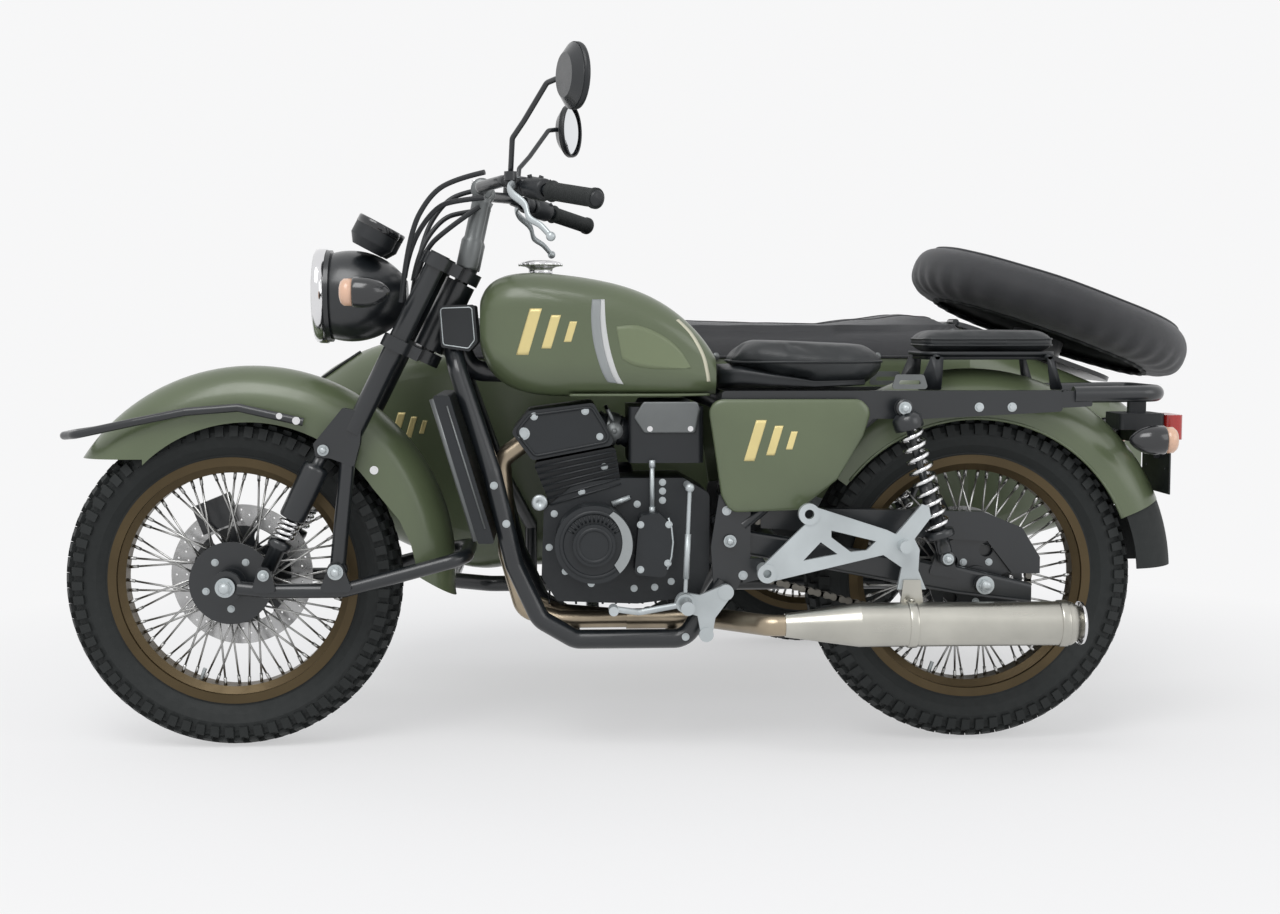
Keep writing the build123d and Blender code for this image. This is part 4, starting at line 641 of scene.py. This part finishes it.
# foot and top (x, z), y, the damper's (radius, share of its length), and the spring's
# start and end in shares, radius, wire and turns
for end, body, foot, top, y, profile, spring in (
        ("front", "steering", (-651, 351), (-537, 588), 105, (
            (0, 0.04), (15, 0.04), (15.5, 0.2), (22, 0.21), (23, 0.24), (22, 0.265), (9, 0.27),
            (9, 0.44), (23.5, 0.445), (25.5, 0.46), (25.8, 0.84), (23.5, 0.868), (12, 0.875),
            (11, 0.96)), (0.285, 0.435, 18.5, 3.4, 4)),
        ("rear", "chassis", (649, 380), (563, 668), 165, (
            (0, 0.03), (13.5, 0.03), (14.5, 0.05), (14.5, 0.135), (27.5, 0.14), (28.5, 0.15),
            (28.5, 0.175), (27, 0.185), (14.5, 0.19), (14.5, 0.5), (13, 0.505), (7.5, 0.51),
            (7.5, 0.855), (26.5, 0.86), (28.5, 0.87), (28, 0.935), (18, 0.965), (0, 0.97)),
         (0.195, 0.85, 21.5, 4, 9))):
    damper, wire = Mesh(), Mesh()
    for side in SIDES:
        low, high = at(foot[0], side * y, foot[1]), at(top[0], side * y, top[1])
        length = (high - low).length * 1000
        damper.turned(low, high - low, [(r, share * length) for r, share in profile], 32)
        for eye, r in ((low, 14), (high, 15.5)):
            damper.turned(eye - Y * side * 0.012, Y * side, [
                (6, 0), (r, 0), (r + 1, 2), (r + 1, 22), (r, 24), (6, 24)], 28)
        coil(wire, *(low.lerp(high, share) for share in spring[:2]), *spring[2:])
    damper.done(end + "_dampers", BLACK, body, end + "_shocks")
    wire.done(end + "_springs", CHROME, body, end + "_shocks")

# ---------------------------------------------------------------- tank
MIDDLE_LINE = ((-10, 873), (-11, 832), (-5, 783), (8, 738), (20, 714))  # between its two bands
painted("tank_grey_band", GREY, "fuel_tank", (
    ((-27, 873), (-29, 838), (-24, 789), (-10, 740), (3, 716)), MIDDLE_LINE), across=4)
painted("tank_white_band", WHITE, "fuel_tank", (
    MIDDLE_LINE, ((-3, 873), (-1, 828), (7, 779), (20, 736), (33, 712))), across=3, lift=0.6)
painted("tank_rear_line", CREAM, "fuel_tank", (
    ((134, 834), (160, 807), (182, 768), (191, 735), (194, 716)),
    ((140, 836), (167, 808), (189, 768), (198, 735), (201, 716))), across=2)
painted("tank_knee_panel", PALE_GREEN, "fuel_tank", (
    ((18, 822), (60, 824), (105, 806), (140, 778), (163, 742)),
    ((30, 760), (52, 748), (84, 742), (120, 741), (152, 742))))


def gold_bars(name, node, x, z, size, middle=0):
    """A plain motif of three slanted bars, shorter to the rear, about (x, z)."""
    for k, (shift, half) in enumerate(((-0.52, 0.50), (-0.02, 0.36), (0.42, 0.22))):
        low = [(x + size * (shift + way * 0.30 * half), z + size * way * half)
               for way in (-1, 1)]
        high = [(u + size * (0.26 - 0.05 * k), v) for u, v in low]
        painted(f"{name}_bar_{k}", GOLD_PAINT, node, (low, high), across=6, middle=middle, steps=8)


gold_bars("tank_motif", "fuel_tank", -112, 812, 88)

# the tank's welded seam: a lip that follows its underside
lip = Mesh()
for side in SIDES:
    lip.ring_run([[beside("fuel_tank", x, 700, side)[0] + Vector((0, side * out, up)) / 1000
                   for out, up in ((-6, -11.5), (5.5, -11.5), (6.5, -9), (5.5, -6.5), (-6, -6.5))]
                  for x in range(-70, 204, 10)])
lip.done("tank_seam_lip", GREEN)

CAP = at(-125, 0, 917)
cap = Mesh().turned(CAP, Z, [
    (0, 0), (34, 0), (34, 3), (28, 6), (24, 10), (24, 18), (30, 21), (40, 22.5), (42.5, 25),
    (41.5, 28), (36, 31), (24, 33.5), (0, 34.5)])
for angle in turns(24):
    cap.stub(CAP + spin(X, Y, angle) * 0.0415, Z, 22.8, 27.5, 2.2, 6)
cap.done("screw_fuel_cap", CHROME, stands_for="fuel_cap")

# ---------------------------------------------------------------- side panels and seats
panels = Mesh()
crowned(panels, rounded((
    (191, 684), (485, 684), (505, 662), (490, 615), (440, 530), (368, 472), (236, 468),
    (218, 500), (205, 590)), 26), (
    (0.985, 138), (1, 140), (1, 146.5), (0.992, 149.5), (0.975, 151.2), (0.93, 152.8),
    (0.82, 155), (0.62, 157), (0.35, 158), (0.08, 158.3)))
panels.done("side_panel_covers", GREEN, stands_for="side_panels")
gold_bars("panel_motif", "side_panel_covers", 312, 606, 78)


def bake(made):
    """Applies a piece's modifiers to its own mesh."""
    graph = bpy.context.evaluated_depsgraph_get()
    mesh = bpy.data.meshes.new_from_object(made.evaluated_get(graph))
    made.modifiers.clear()
    old, made.data = made.data, mesh
    bpy.data.meshes.remove(old)


def power(value, exponent):
    """A power that keeps the sign."""
    return abs(value) ** exponent * (1 if value > 0 else -1)


def cushion(name, sections, most, stands_for):
    """A padded seat: sections (x, half width, low, high) swelled as cloth, by most at most."""
    pad = Mesh().ring_run([
        [at(x, half * power(cos(a), 0.55),
            (low + high) / 2 + (high - low) / 2 * power(sin(a), 0.70)) for a in turns(40)]
        for x, half, low, high in sections]).done(name, LEATHER, stands_for=stands_for)
    even = pad.modifiers.new("even", "REMESH")
    even.mode, even.voxel_size, even.use_smooth_shade = "VOXEL", 0.0055, True
    bake(pad)
    rest = [v.co.copy() for v in pad.data.vertices]
    cloth = pad.modifiers.new("swell", "CLOTH").settings
    cloth.use_pressure, cloth.uniform_pressure_force = True, 4
    cloth.effector_weights.gravity = 0
    for frame_number in range(1, 21):
        bpy.context.scene.frame_set(frame_number)
    bake(pad)
    bpy.context.scene.frame_set(1)
    for v, start in zip(pad.data.vertices, rest):
        moved = v.co - start
        if moved.length > most:
            v.co = start + moved.normalized() * most
    pad.modifiers.new("smooth", "SMOOTH").iterations = 6
    bake(pad)
    fine = pad.modifiers.new("fine", "SUBSURF")
    fine.levels = fine.render_levels = 1
    bake(pad)
    pad.data.polygons.foreach_set("use_smooth", [True] * len(pad.data.polygons))


def piping(node, x, heights, radius):
    """Piping round a pad at some heights, about a line up from x."""
    made = Mesh()
    for z in heights:
        found = [cast(node, at(x, 0, z) + aim * (REACH / 1000), -aim)
                 for aim in (spin(X, Y, a) for a in turns(160))]
        made.tube([place + way * 0.001 for place, way in found], radius, 8, True)
    made.done(node + "_piping", LEATHER)


cushion("rider_saddle", (
    (238, 58, 744, 762), (262, 82, 744, 780), (292, 102, 740, 787), (340, 118, 728, 786),
    (410, 128, 714, 783), (480, 126, 713, 780), (516, 116, 720, 777), (538, 98, 734, 770)),
    0.009, "rider_seat")
piping("rider_saddle", 390, [754], 2.8)
Mesh().ring_run([
    [at(x, half * cos(a) * (1.12 if abs(sin(a)) > 0.4 else 1), (low + high) / 2
        + (high - low) / 2 * sin(a)) for a in turns(28)] for x, half, low, high in (
        (222, 66, 700, 748), (262, 88, 700, 750), (320, 104, 700, 738), (400, 112, 701, 722),
        (500, 104, 706, 724))]).done("rider_seat_pan", PLASTIC, stands_for="rider_seat")

PAD_START, PAD_END = 610, 886
cushion("pillion_pad", (
    (PAD_START + 5, 70, 781, 803), (PAD_START + 16, 84, 777, 808), (PAD_START + 44, 88, 776, 809),
    (PAD_START + 132, 89, 776, 810), (PAD_END - 44, 88, 776, 809), (PAD_END - 16, 84, 777, 808),
    (PAD_END - 5, 70, 781, 803)), 0.006, "pillion_seat")
piping("pillion_pad", (PAD_START + PAD_END) / 2, (786, 797), 2.2)
base = Mesh()
for inset, half, bend, heights in ((6, 88, 34, (766, 773)), (14, 78, 24, (757.5, 766))):
    low, high = PAD_START + inset, PAD_END - inset
    outline = rounded(((low, -half), (high, -half), (high, half), (low, half)), bend)
    base.ring_run([[at(p.x, p.y, z) for p in outline] for z in heights])
for x, half, lean in ((PAD_START + 30, 24, -16), (PAD_END - 26, 12, 14)):
    crowned(base, rounded((
        (x - half + lean, 699.5), (x + half + lean, 699.5), (x + half / 2, 764),
        (x - half / 2, 764)), 4), ((1, 101), (1, 106)))
    base.rod(at(x, -106, 763), at(x, 106, 763), 5, 12)
base.done("pillion_pad_base", PLASTIC, stands_for="pillion_seat")

# the slotted brackets on the rails ahead of the pad
for side, name in zip(SIDES, ("left", "right")):
    cut_out("rail_bracket_" + name, SATIN_GREY, "chassis", at(583, side * 122, 716), -1, [
        rounded(((-36, -14), (36, -14), (27, 14), (-27, 14)), 6),
        rounded(((-22, -5), (22, -5), (19, 3), (-19, 3)), 3)], 4)


# ---------------------------------------------------------------- sheets
def eased(t):
    """A share kept from 0 to 1 that starts and ends slowly."""
    t = max(0.0, min(1.0, t))
    return t * t * (3 - 2 * t)


def between(stations, x):
    """The values of a table of stations at x, eased from one to the next."""
    for low, high in zip(stations, stations[1:]):
        if x <= high[0]:
            t = eased((x - low[0]) / (high[0] - low[0]))
            return [a + (b - a) * t for a, b in zip(low[1:], high[1:])]
    return stations[-1][1:]


# the cover over the cockpit: (x, half width, height at its crown)
CROWN = ((-452, 232, 825), (-300, 243, 838), (-60, 245, 839), (200, 245, 834), (480, 245, 826),
         (600, 238, 838), (690, 228, 848), (735, 220, 843), (788, 206, 828))
START_X, END_X, EDGE_Z = -452, 788, 824
COLUMNS, ROWS, SKIRT = 60, 156, 8
FRONT_X = -340  # ahead of it the cover comes down to the tub's nose
rows = []
for i in range(ROWS + 1):
    x = START_X + (END_X - START_X) * i / ROWS
    half, crown = between(CROWN, x)
    end = min(1.0, min(x - START_X, END_X - x) / 34)
    half -= 26 * (1 - sqrt(max(0.0, 1 - (1 - end) ** 2)))
    row = []
    for j in range(COLUMNS + 1):
        v = -1 + 2 * j / COLUMNS
        folds = (1.6 * sin(x / 52 + 2.2 * v) * (1 - v * v) + 1.2 * sin(x / 17 + 5 * v)
                 * abs(v) ** 3 + 1.3 * noise.noise(Vector((x / 70, v * 3, 0))))
        z = (EDGE_Z + 1 + (crown - EDGE_Z) * (1 - abs(v) ** 3.2) * min(1.0, end + 0.2)
             + folds * min(1.0, 1.4 - abs(v)) * end)
        spot = at(x, TUB_Y + half * v, max(z, EDGE_Z + 0.6))
        below = meet("sidecar_tub", at(x, TUB_Y + half * v, 1200), -Z)
        if x < FRONT_X and below:
            rest = below[0].z + 0.0025
            lift = 1 - ((x - START_X) / (FRONT_X - START_X) - 1) ** 2
            spot.z = rest + max(0.0, spot.z - rest) * lift
        row.append(spot)
    depth = 8 + 54 * eased(min((x - START_X) / 160, (END_X - x) / 120))
    for side in SIDES:
        last, skirt = row[0 if side < 0 else -1], []
        for k in range(1, SKIRT + 1):
            hit = meet("sidecar_tub", at(x, TUB_Y + side * REACH, EDGE_Z - 4 - depth * k / SKIRT),
                       Y * -side)
            if hit and side * (hit[0].y - last.y) > -0.004:
                fold = 3 + (1 + sin(x / 31 + side)) * k / SKIRT
                last = hit[0] + Y * (side * fold / 1000)
            else:
                last = last + Vector((0, side * 0.0015, -0.0012))
            skirt.append(last)
        row = row + skirt if side > 0 else skirt[::-1] + row
    rows.append(row)
count = len(rows[0])
tonneau = piece("cockpit_cover", [p for row in rows for p in row], [
    (i * count + j, i * count + j + 1, (i + 1) * count + j + 1, (i + 1) * count + j)
    for i in range(ROWS) for j in range(count - 1)], CANVAS, stands_for="sidecar_tonneau")
around = ([row[0] for row in rows] + rows[-1][1:] + [row[-1] for row in reversed(rows[:-1])]
          + rows[0][-2:0:-1])
snaps, seams = Mesh(), Mesh()
for spot in around[::22]:
    out = spot.y - at(0, TUB_Y, 0).y
    out = (Y if out > 0 else -Y) if abs(out) > 0.2 else Z
    snaps.turned(spot + out * 0.0015, out, [(8.5, 0), (8.5, 1.5), (6, 3.5), (0, 4.2)], 16)
hem = Mesh().tube([p - Z * 0.0012 for p in around], 3.2, 8, True).done("cockpit_cover_hem", CANVAS)
snaps = snaps.done("cockpit_cover_snaps", SATIN_GREY)
for share in (0.30, 0.70):
    seams.tube([row[SKIRT + int(COLUMNS * share)] + Z * 0.0006 for row in rows[4:-4]], 1.4, 6)
seams = seams.done("cockpit_cover_seams", CANVAS)

# the cover of the spare wheel, gathered under its tyre by a cord
SPARE, TILT = at(1050, 590, 856), radians(20)
SPARE_UP, SPARE_AHEAD = Vector((sin(TILT), 0, cos(TILT))), Vector((-cos(TILT), 0, sin(TILT)))
STEPS = 216
# (radius, height above the wheel's middle plane)
profile = smooth_path([Vector(p) for p in (
    (0, 47), (60, 48), (120, 50), (175, 53), (220, 56.5), (255, 57), (285, 53), (308, 43),
    (322, 28), (329, 10), (330, -6), (327, -22), (319, -37), (306, -48), (290, -55),
    (272, -58.5), (255, -60))], 3)
rows = []
for i, (r, h) in enumerate(profile):
    low = max(0.0, min(1.0, (12 - h) / 60)) if r > 200 else 0.0
    row = []
    for a in turns(STEPS):
        fold = sin(34 * a + 1.7 * sin(3 * a)) * 3.4 * low ** 1.5
        sag = 1.6 * noise.noise(Vector((cos(a) * 2.2, sin(a) * 2.2, i / 9))) * min(1, r / 200)
        top = 1.8 * sin(2 * a + 0.7) * (r / 330) ** 2 * (1 - low)
        out = min(r - 3 + fold + sag, 335.5) if r else 0.0
        row.append(SPARE + spin(SPARE_AHEAD, Y, a) * (out / 1000)
                   + SPARE_UP * ((h + top + sag) / 1000))
    rows.append(row)
made = Mesh()
made.verts = rows[0][:1] + [p for row in rows[1:] for p in row]
for k in range(STEPS):
    made.faces.append((0, 1 + k, 1 + (k + 1) % STEPS))
for a in range(1, len(made.verts) - STEPS, STEPS):
    b = a + STEPS
    made.faces += [(a + k, b + k, b + (k + 1) % STEPS, a + (k + 1) % STEPS) for k in range(STEPS)]
spare_cover = made.done("spare_wheel_cover", CANVAS, "boot", "spare_wheel")
edge = min(range(len(profile)),
           key=lambda i: abs(profile[i][0] - 291) + 100 * (profile[i][1] < 0))
seam = Mesh().tube([p + SPARE_UP * 0.001 for p in rows[edge]], 2.7, 8, True).done(
    "spare_cover_piping", CANVAS, "boot")
draw = Mesh().tube([p - SPARE_UP * 0.002 for p in rows[-1]], 4.2, 8, True).done(
    "spare_cover_drawstring", RUBBER, "boot")
Mesh().turned(SPARE, SPARE_UP, [
    (262, -52), (275, -50), (300, -44), (315, -30), (321, -8), (321, 8), (312, 30), (290, 46),
    (262, 50), (236, 40), (226, 24), (226, -24), (236, -42)], 96, True).turned(SPARE, SPARE_UP, [
    (0, -16), (50, -18), (100, -10), (160, 0), (210, -12), (229, -18), (229, 18), (210, 12),
    (0, 0)], 64).turned(SPARE - SPARE_UP * 0.075, SPARE_UP, [
    (0, 0), (45, 0), (45, 12), (20, 20), (20, 60), (0, 60)], 32).done(
    "spare_wheel_under", RUBBER, "boot", "spare_wheel")

# ---------------------------------------------------------------- control cables
CABLE_R = 5
# places from the middle of the bar
ROUTES = (
    ((10, -185, 22), (-42, -165, 12), (-92, -150, -14), (-136, -138, -92), (-152, -112, -216)),
    ((8, -150, -22), (-42, -140, -26), (-86, -125, -38), (-136, -108, -110), (-146, -100, -170)),
    ((-4, -84, -34), (-66, -78, -76), (-112, -72, -118), (-126, -66, -170)),
    ((10, 185, 22), (-40, 168, 14), (-88, 152, -10), (-134, 138, -90), (-152, 112, -216)),
    ((8, 150, -24), (-44, 138, -30), (-90, 124, -44), (-136, 108, -112), (-146, 100, -170)))
for k, route in enumerate(ROUTES):
    route = [at(BAR_X + x, y, BAR_Z + z) for x, y, z in route]
    curve = bpy.data.curves.new(f"control_cable_{k}", "CURVE")
    curve.dimensions, curve.resolution_u, curve.bevel_depth = "3D", 16, CABLE_R / 1000
    curve.use_fill_caps = True
    line = curve.splines.new("NURBS")
    line.points.add(len(route) - 1)
    for point, place in zip(line.points, route):
        point.co = (*place, 1)
    line.order_u, line.use_endpoint_u = 3, True
    cable = placed(curve.name, curve, PLASTIC, "steering", "control_cables")

# ---------------------------------------------------------------- engine
ENGINE_SIDE = "engine_crankcase engine_covers engine_cylinder_head"
bolts("engine_bolts", SILVER, {ENGINE_SIDE: [(x, z, 4.6) for x, z in (
    (-100, 462), (-47, 504), (-110, 397), (-79, 350), (-29, 326), (60, 480), (-3, 552),
    (-12, 611), (54, 316), (94, 318), (126, 329), (109, 522), (109, 505), (109, 487), (64, 446),
    (118, 446), (64, 360), (116, 372))]
    + [(-158, 617, 8), (-40, 660, 5), (-138, 650, 5)]}, sides=(-1,))
bolts("engine_right_bolts", SILVER, {ENGINE_SIDE: [
    (-20 + 70 * cos(radians(a)), 405 + 70 * sin(radians(a)), 4.6) for a in range(15, 375, 45)]},
    sides=(1,))
GENERATOR = at(-25, -176, 411)
# the bright mesh holds real silver fittings and one painted highlight line along a cover's edge
trim, bright = Mesh(), Mesh()
trim.turned(GENERATOR, -Y, [(57.5, 0), (59, 2.8), (64, 2.8), (65.5, 0)], 64)
trim.turned(at(-25, -190, 411), -Y, [(27, 0), (28.5, 2.6), (33, 2.6), (34.5, 0)])
for k in range(13):
    trim.stub(GENERATOR, spin(X, Z, radians(30 + 10 * k)), 44, 57.5, 2, 6)
head_outline = rounded(((-136, 574), (10, 602), (-8, 636), (-28, 668), (-146, 652),
                        (-172, 620)), 12)
for side in SIDES:
    # the cylinder block's fins, between its front and rear edges
    for k in range(7):
        front, rear = [Vector(low).lerp(Vector(high), 0.10 + 0.8 * k / 6) for low, high in (
            ((-104, 470), (-140, 560)), ((30, 512), (18, 590)))]
        rise = (rear - front).orthogonal().normalized() * 1.7
        trim.ring_run([[stood(p + rise * u, side * y) for u, y in (
            (-1, 84), (-1, 98), (1, 98), (1, 84))] for p in (front, rear)])
    trim.tube([stood(p, side * 100.5) for p in head_outline], 2.8, 8, True)
trim.done("engine_ribs", ENGINE)
bright.turned(at(-128, -97, 484), -Y, [(0, 0), (15.5, 0), (15.5, 5), (13.5, 8), (6, 8.5),
                                       (4.5, 6), (0, 6)], 32)
# a thin silver line along the edge of the second cover (starter and clutch cover): a painted
# highlight where that edge catches the light
bright.tube([at(x, -150.5, z) for x, z in (
    (117, 459), (123, 440), (126, 412), (123, 384), (115, 360))], 1.8, 8)
for start, end, *size in (
        ((88, -112, 466), (88, -112, 562), 4.5, 14), ((88, -112, 462), (88, -112, 476), 6.5, 6),
        ((88, -112, 552), (88, -112, 566), 6.5, 6), ((88, -112, 558), (88, -90, 558), 4.5, 12),
        ((88, -112, 470), (88, -92, 470), 4.5, 12), ((149, -172, 345), (153, -172, 430), 5.8, 12),
        ((12, -101, 480), (46, -101, 494), 6.2, 12, 4.5)):
    bright.rod(at(*start), at(*end), *size)
bright.turned(at(156, -172, 518), Z, ball(9), 24)
bright.done("engine_fittings_and_painted_highlight", SILVER)

plates = Mesh()
crowned(plates, rounded((
    (53, 648), (71, 678), (175, 678), (181, 663), (172, 618), (73, 618)), 7), (
    (1, 104), (1, 106.5), (0.97, 108), (0.9, 108.6)))
plates.done("airbox_cover_plates", SATIN_GREY)
bolts("airbox_bolts", CHROME, {"airbox_cover_plates": [(84, 626, 3.6), (162, 626, 3.6)]})

# radiator: fins and rods across its front, header tanks with a bright edge
FACE_TOP, FACE_FOOT = Vector((-328, 692)), Vector((-244, 411))
DOWN = (FACE_FOOT - FACE_TOP).normalized()
OUT = Vector((DOWN.y, -DOWN.x))
core, edge = Mesh(), Mesh()
for k in range(46):
    p = FACE_TOP + DOWN * (14 + 5.8 * k)
    core.ring_run([[stood(p + OUT * u + DOWN * v, y) for u, v in (
        (-4, -0.5), (2.2, -0.5), (2.2, 0.5), (-4, 0.5))] for y in (-128, 128)])
for y in range(-120, 121, 12):
    core.rod(stood(FACE_TOP + OUT * 1.2 + DOWN * 10, y),
             stood(FACE_FOOT + OUT * 1.2 - DOWN * 10, y), 1.2, 6)
core.done("radiator_core", SATIN_GREY, smooth=False)
for side in SIDES:
    edge.rod(stood(FACE_TOP + DOWN * 6 + OUT, side * 139),
             stood(FACE_FOOT - DOWN * 6 + OUT, side * 139), 8, 16)
    edge.rod(at(-301, side * 150.5, 673), at(-231, side * 150.5, 440), 1.8)
edge.done("radiator_edges", SATIN_GREY)

trims = Mesh()
for side in SIDES:
    trims.tube([stood(p, side * 70.6) for p in rounded((
        (-317, 857), (-257, 859), (-252, 796), (-264, 780), (-312, 787)), 6)], 1.3, 6, True)
trims.done("head_cover_outlines", SILVER)

# ---------------------------------------------------------------- silencer, chain, fenders
can = Mesh()
for x in (560, 846):
    can.turned(at(x, -230, 264), X, [(41.2, 0), (43.6, 0.8), (44, 4), (44, 14), (43.6, 17.2),
                                     (41.2, 18)], 64)
can.bolt(at(569, -230, 307), (0, -0.35, 0.94), 4.8, 6).done("silencer_bands", STAINLESS)
Mesh().turned(at(892, -230, 264), X, [(41.5, -4), (40.5, 1), (36, 3), (20, 3), (19, 1),
                                      (19, -30)], 64).done("silencer_end", CHROME)

# the chain's path round its sprockets, and a link at each pitch of it
PITCH = 15.875
(FIRST, FIRST_R), (LAST, LAST_R) = (Vector((150, 412)), 37), (Vector((725, 327)), 104)
ahead = LAST - FIRST
slant = (FIRST_R - LAST_R) / ahead.length
ahead.normalize()
above = Vector((-ahead.y, ahead.x))
over, under = [ahead * slant + above * side * sqrt(1 - slant ** 2) for side in (1, -1)]
start, end = atan2(over.y, over.x), atan2(under.y, under.x)
path = [FIRST + over * FIRST_R]
for k in range(41):
    angle = start + (end - start) * k / 40
    path.append(LAST + Vector((cos(angle), sin(angle))) * LAST_R)
path.append(FIRST + under * FIRST_R)
links, reach, spot = [], 0.0, 0.0
for a, b in zip(path, path[1:]):
    span = (b - a).length
    while spot <= reach + span:
        links.append(a.lerp(b, (spot - reach) / span))
        spot += PITCH
    reach += span
chain = Mesh()
for k, (a, b) in enumerate(zip(links, links[1:])):
    if min(a.x, b.x) < 210:  # hidden by the front sprocket's cover
        continue
    chain.rod(stood(a, -92.5), stood(a, -75.5), 5.1, 10)
    along = (b - a).normalized()
    up, waist = Vector((-along.y, along.x)), (a + b) / 2
    outline = [a - along * 5.5 - up * 3, a - along * 5.5 + up * 3, a + up * 6.6, waist + up * 4.6,
               b + up * 6.6, b + along * 5.5 + up * 3, b + along * 5.5 - up * 3, b - up * 6.6,
               waist - up * 4.6, a - up * 6.6]
    for low in (-92.6, -76.9) if k % 2 else (-91, -78.5):
        chain.ring_run([[stood(p, y) for p in outline] for y in (low, low + 1.5)])
chain.done("chain_links", LINK, smooth=False)

beads = Mesh()
for (_, centre), radius, start, end in zip(WHEELS[1:], (316, 286), (22, 8), (144, 172)):
    for side in SIDES:
        beads.tube([about(centre, radius, radians(a), side * 76)
                    for a in range(start, end + 1, 3)], 3.2, 8)
beads.done("fender_beads", GREEN)

# ---------------------------------------------------------------- sidecar and fittings
gold_bars("nose_motif", "sidecar_tub", -411, 607, 62, TUB_Y)
cowl = Mesh()
for side in SIDES:
    found = [beside("sidecar_tub", -618 + 96 * k / 12, 701 + 64 * k / 12, side, TUB_Y)
             for k in range(13)]
    cowl.tube([place + way * 0.0015 for place, way in found], 3.8, 8)
cowl.done("cowl_trims", RUBBER)

# the lighter crescent on the round cover
outer = [(72.5 * cos(radians(a)), 72.5 * sin(radians(a))) for a in range(-48, 61, 4)]
inner = [(-12 + 65.5 * cos(radians(a)), 4 + 65.5 * sin(radians(a))) for a in range(52, -41, -4)]
cut_out("round_cover_crescent", GREY, "chassis", at(-25, -178, 411), 1,
        [[(u, -v) for u, v in outer + inner]], 4)

# what joins the head to the airbox
INTAKE = -14, 48, 628, (60, 0, -14)
intake = Mesh().pair(*INTAKE, [(0, 0), (26, 0), (27, 4), (24, 8), (24, 14), (0, 14)]).pair(
    *INTAKE, [(0, 40), (25, 40), (27.5, 44), (27.5, 47), (25, 50), (28.5, 62), (0, 62)])
throttle = Mesh().pair(*INTAKE, [(0, 14), (29, 14), (30, 16), (30, 38), (29, 40), (0, 40)])
for side in SIDES:
    hub = at(16, side * 78, 621)
    throttle.stub(hub, Y * side, 0, 18, 17, 24).stub(hub, Y * side, 18, 22, 6, 6)
    throttle.rod(at(16, side * 86, 635), at(4, side * 86, 663), 4, 10)
intake.rod(at(16, -80, 621), at(16, 80, 621), 5, 12).done("intake_rubbers", PLASTIC)
throttle.done("throttle_bodies", SATIN_GREY)

# the starter motor behind the block, and the fins under the sump
lower = Mesh().turned(at(-60, 70, 520), X, [
    (0, 0), (26, 0), (29, 4), (29, 112), (20, 118), (0, 118)], 32)
for x in range(-110, 186, 26):
    lower.ring_run([[at(x + u, y, 286 + v) for u, v in ((-2, 4), (2, 4), (2, -5), (-2, -5))]
                    for y in (-66, 66)])
lower.done("sump_fins_and_starter", ENGINE)


# ---------------------------------------------------------------- stage, lights, camera
WHITE_GROUND = (0.93, 0.93, 0.935, 1)


def shown(tree, lit, output, glow, share=None):
    """Shows a glow, by share, over what is lit to rays of the camera, reflections and glass."""
    path = shader_node(tree, "LightPath").outputs
    total = path["Is Camera Ray"]
    for operation, other in (("ADD", path["Is Glossy Ray"]),
                             ("ADD", path["Is Transmission Ray"]), ("MULTIPLY", share)):
        if other:
            both = shader_node(tree, "Math", total, other)
            both.operation, both.use_clamp = operation, True
            total = both.outputs["Value"]
    mix = shader_node(tree, "MixShader", total, lit.outputs[0], glow.outputs[0])
    feed(tree, tree.nodes[output], Surface=mix.outputs["Shader"])


# the floor keeps the shadows near the object and turns into the backdrop away from it
pale_floor = material("floor", (0.90, 0.90, 0.90), 0.9, spread=0.0)
tree = pale_floor.node_tree
far = shader_node(tree, "VectorMath", shader_node(tree, "TexCoord").outputs["Object"])
far.operation = "LENGTH"
share = shader_node(tree, "MapRange", far.outputs["Value"], From_Min=0.9, From_Max=2.3,
                    To_Min=0.55, To_Max=1.0)
shown(tree, tree.nodes["Principled BSDF"], "Material Output",
      shader_node(tree, "Emission", Color=WHITE_GROUND), share.outputs["Result"])
floor_mesh = bpy.data.meshes.new("floor")
floor_mesh.from_pydata([(-30, -30, 0), (30, -30, 0), (30, 30, 0), (-30, 30, 0)], [],
                       [(0, 1, 2, 3)])
floor_mesh.materials.append(pale_floor)
floor = bpy.data.objects.new("floor", floor_mesh)
bpy.context.collection.objects.link(floor)

world = bpy.data.worlds.new("studio")
bpy.context.scene.world = world
world.use_nodes = True
sky = world.node_tree
light = feed(sky, sky.nodes["Background"], Color=(0.95, 0.96, 1.0, 1), Strength=0.6)
shown(sky, light, "World Output", shader_node(sky, "Background", Color=WHITE_GROUND))


def lamp(name, place, size, power):
    """A square lamp that looks at the middle of the object."""
    light = bpy.data.lights.new(name, "AREA")
    light.size, light.energy = size, power
    made = bpy.data.objects.new(name, light)
    made.location = place
    aim = Vector((0, 0, 0.5)) - Vector(place)
    made.rotation_euler = aim.to_track_quat("-Z", "Y").to_euler()
    bpy.context.collection.objects.link(made)


lamp("key", (-1.5, -3.6, 5.0), 3.2, 150)
lamp("fill", (4.0, -3.5, 2.5), 3.0, 40)

FOCAL_PX, FRAME_PX = 1754.0, 1280.0  # the photograph's focal length and width
eye = bpy.data.cameras.new("camera")
eye.lens = eye.sensor_width * FOCAL_PX / FRAME_PX
camera = bpy.data.objects.new("camera", eye)
camera.location = at(-98, -3463, 821)
camera.rotation_euler = (radians(90 - 4.24), 0, radians(-2.78))
bpy.context.collection.objects.link(camera)
bpy.context.scene.camera = camera
bpy.context.scene.view_settings.view_transform = "Standard"
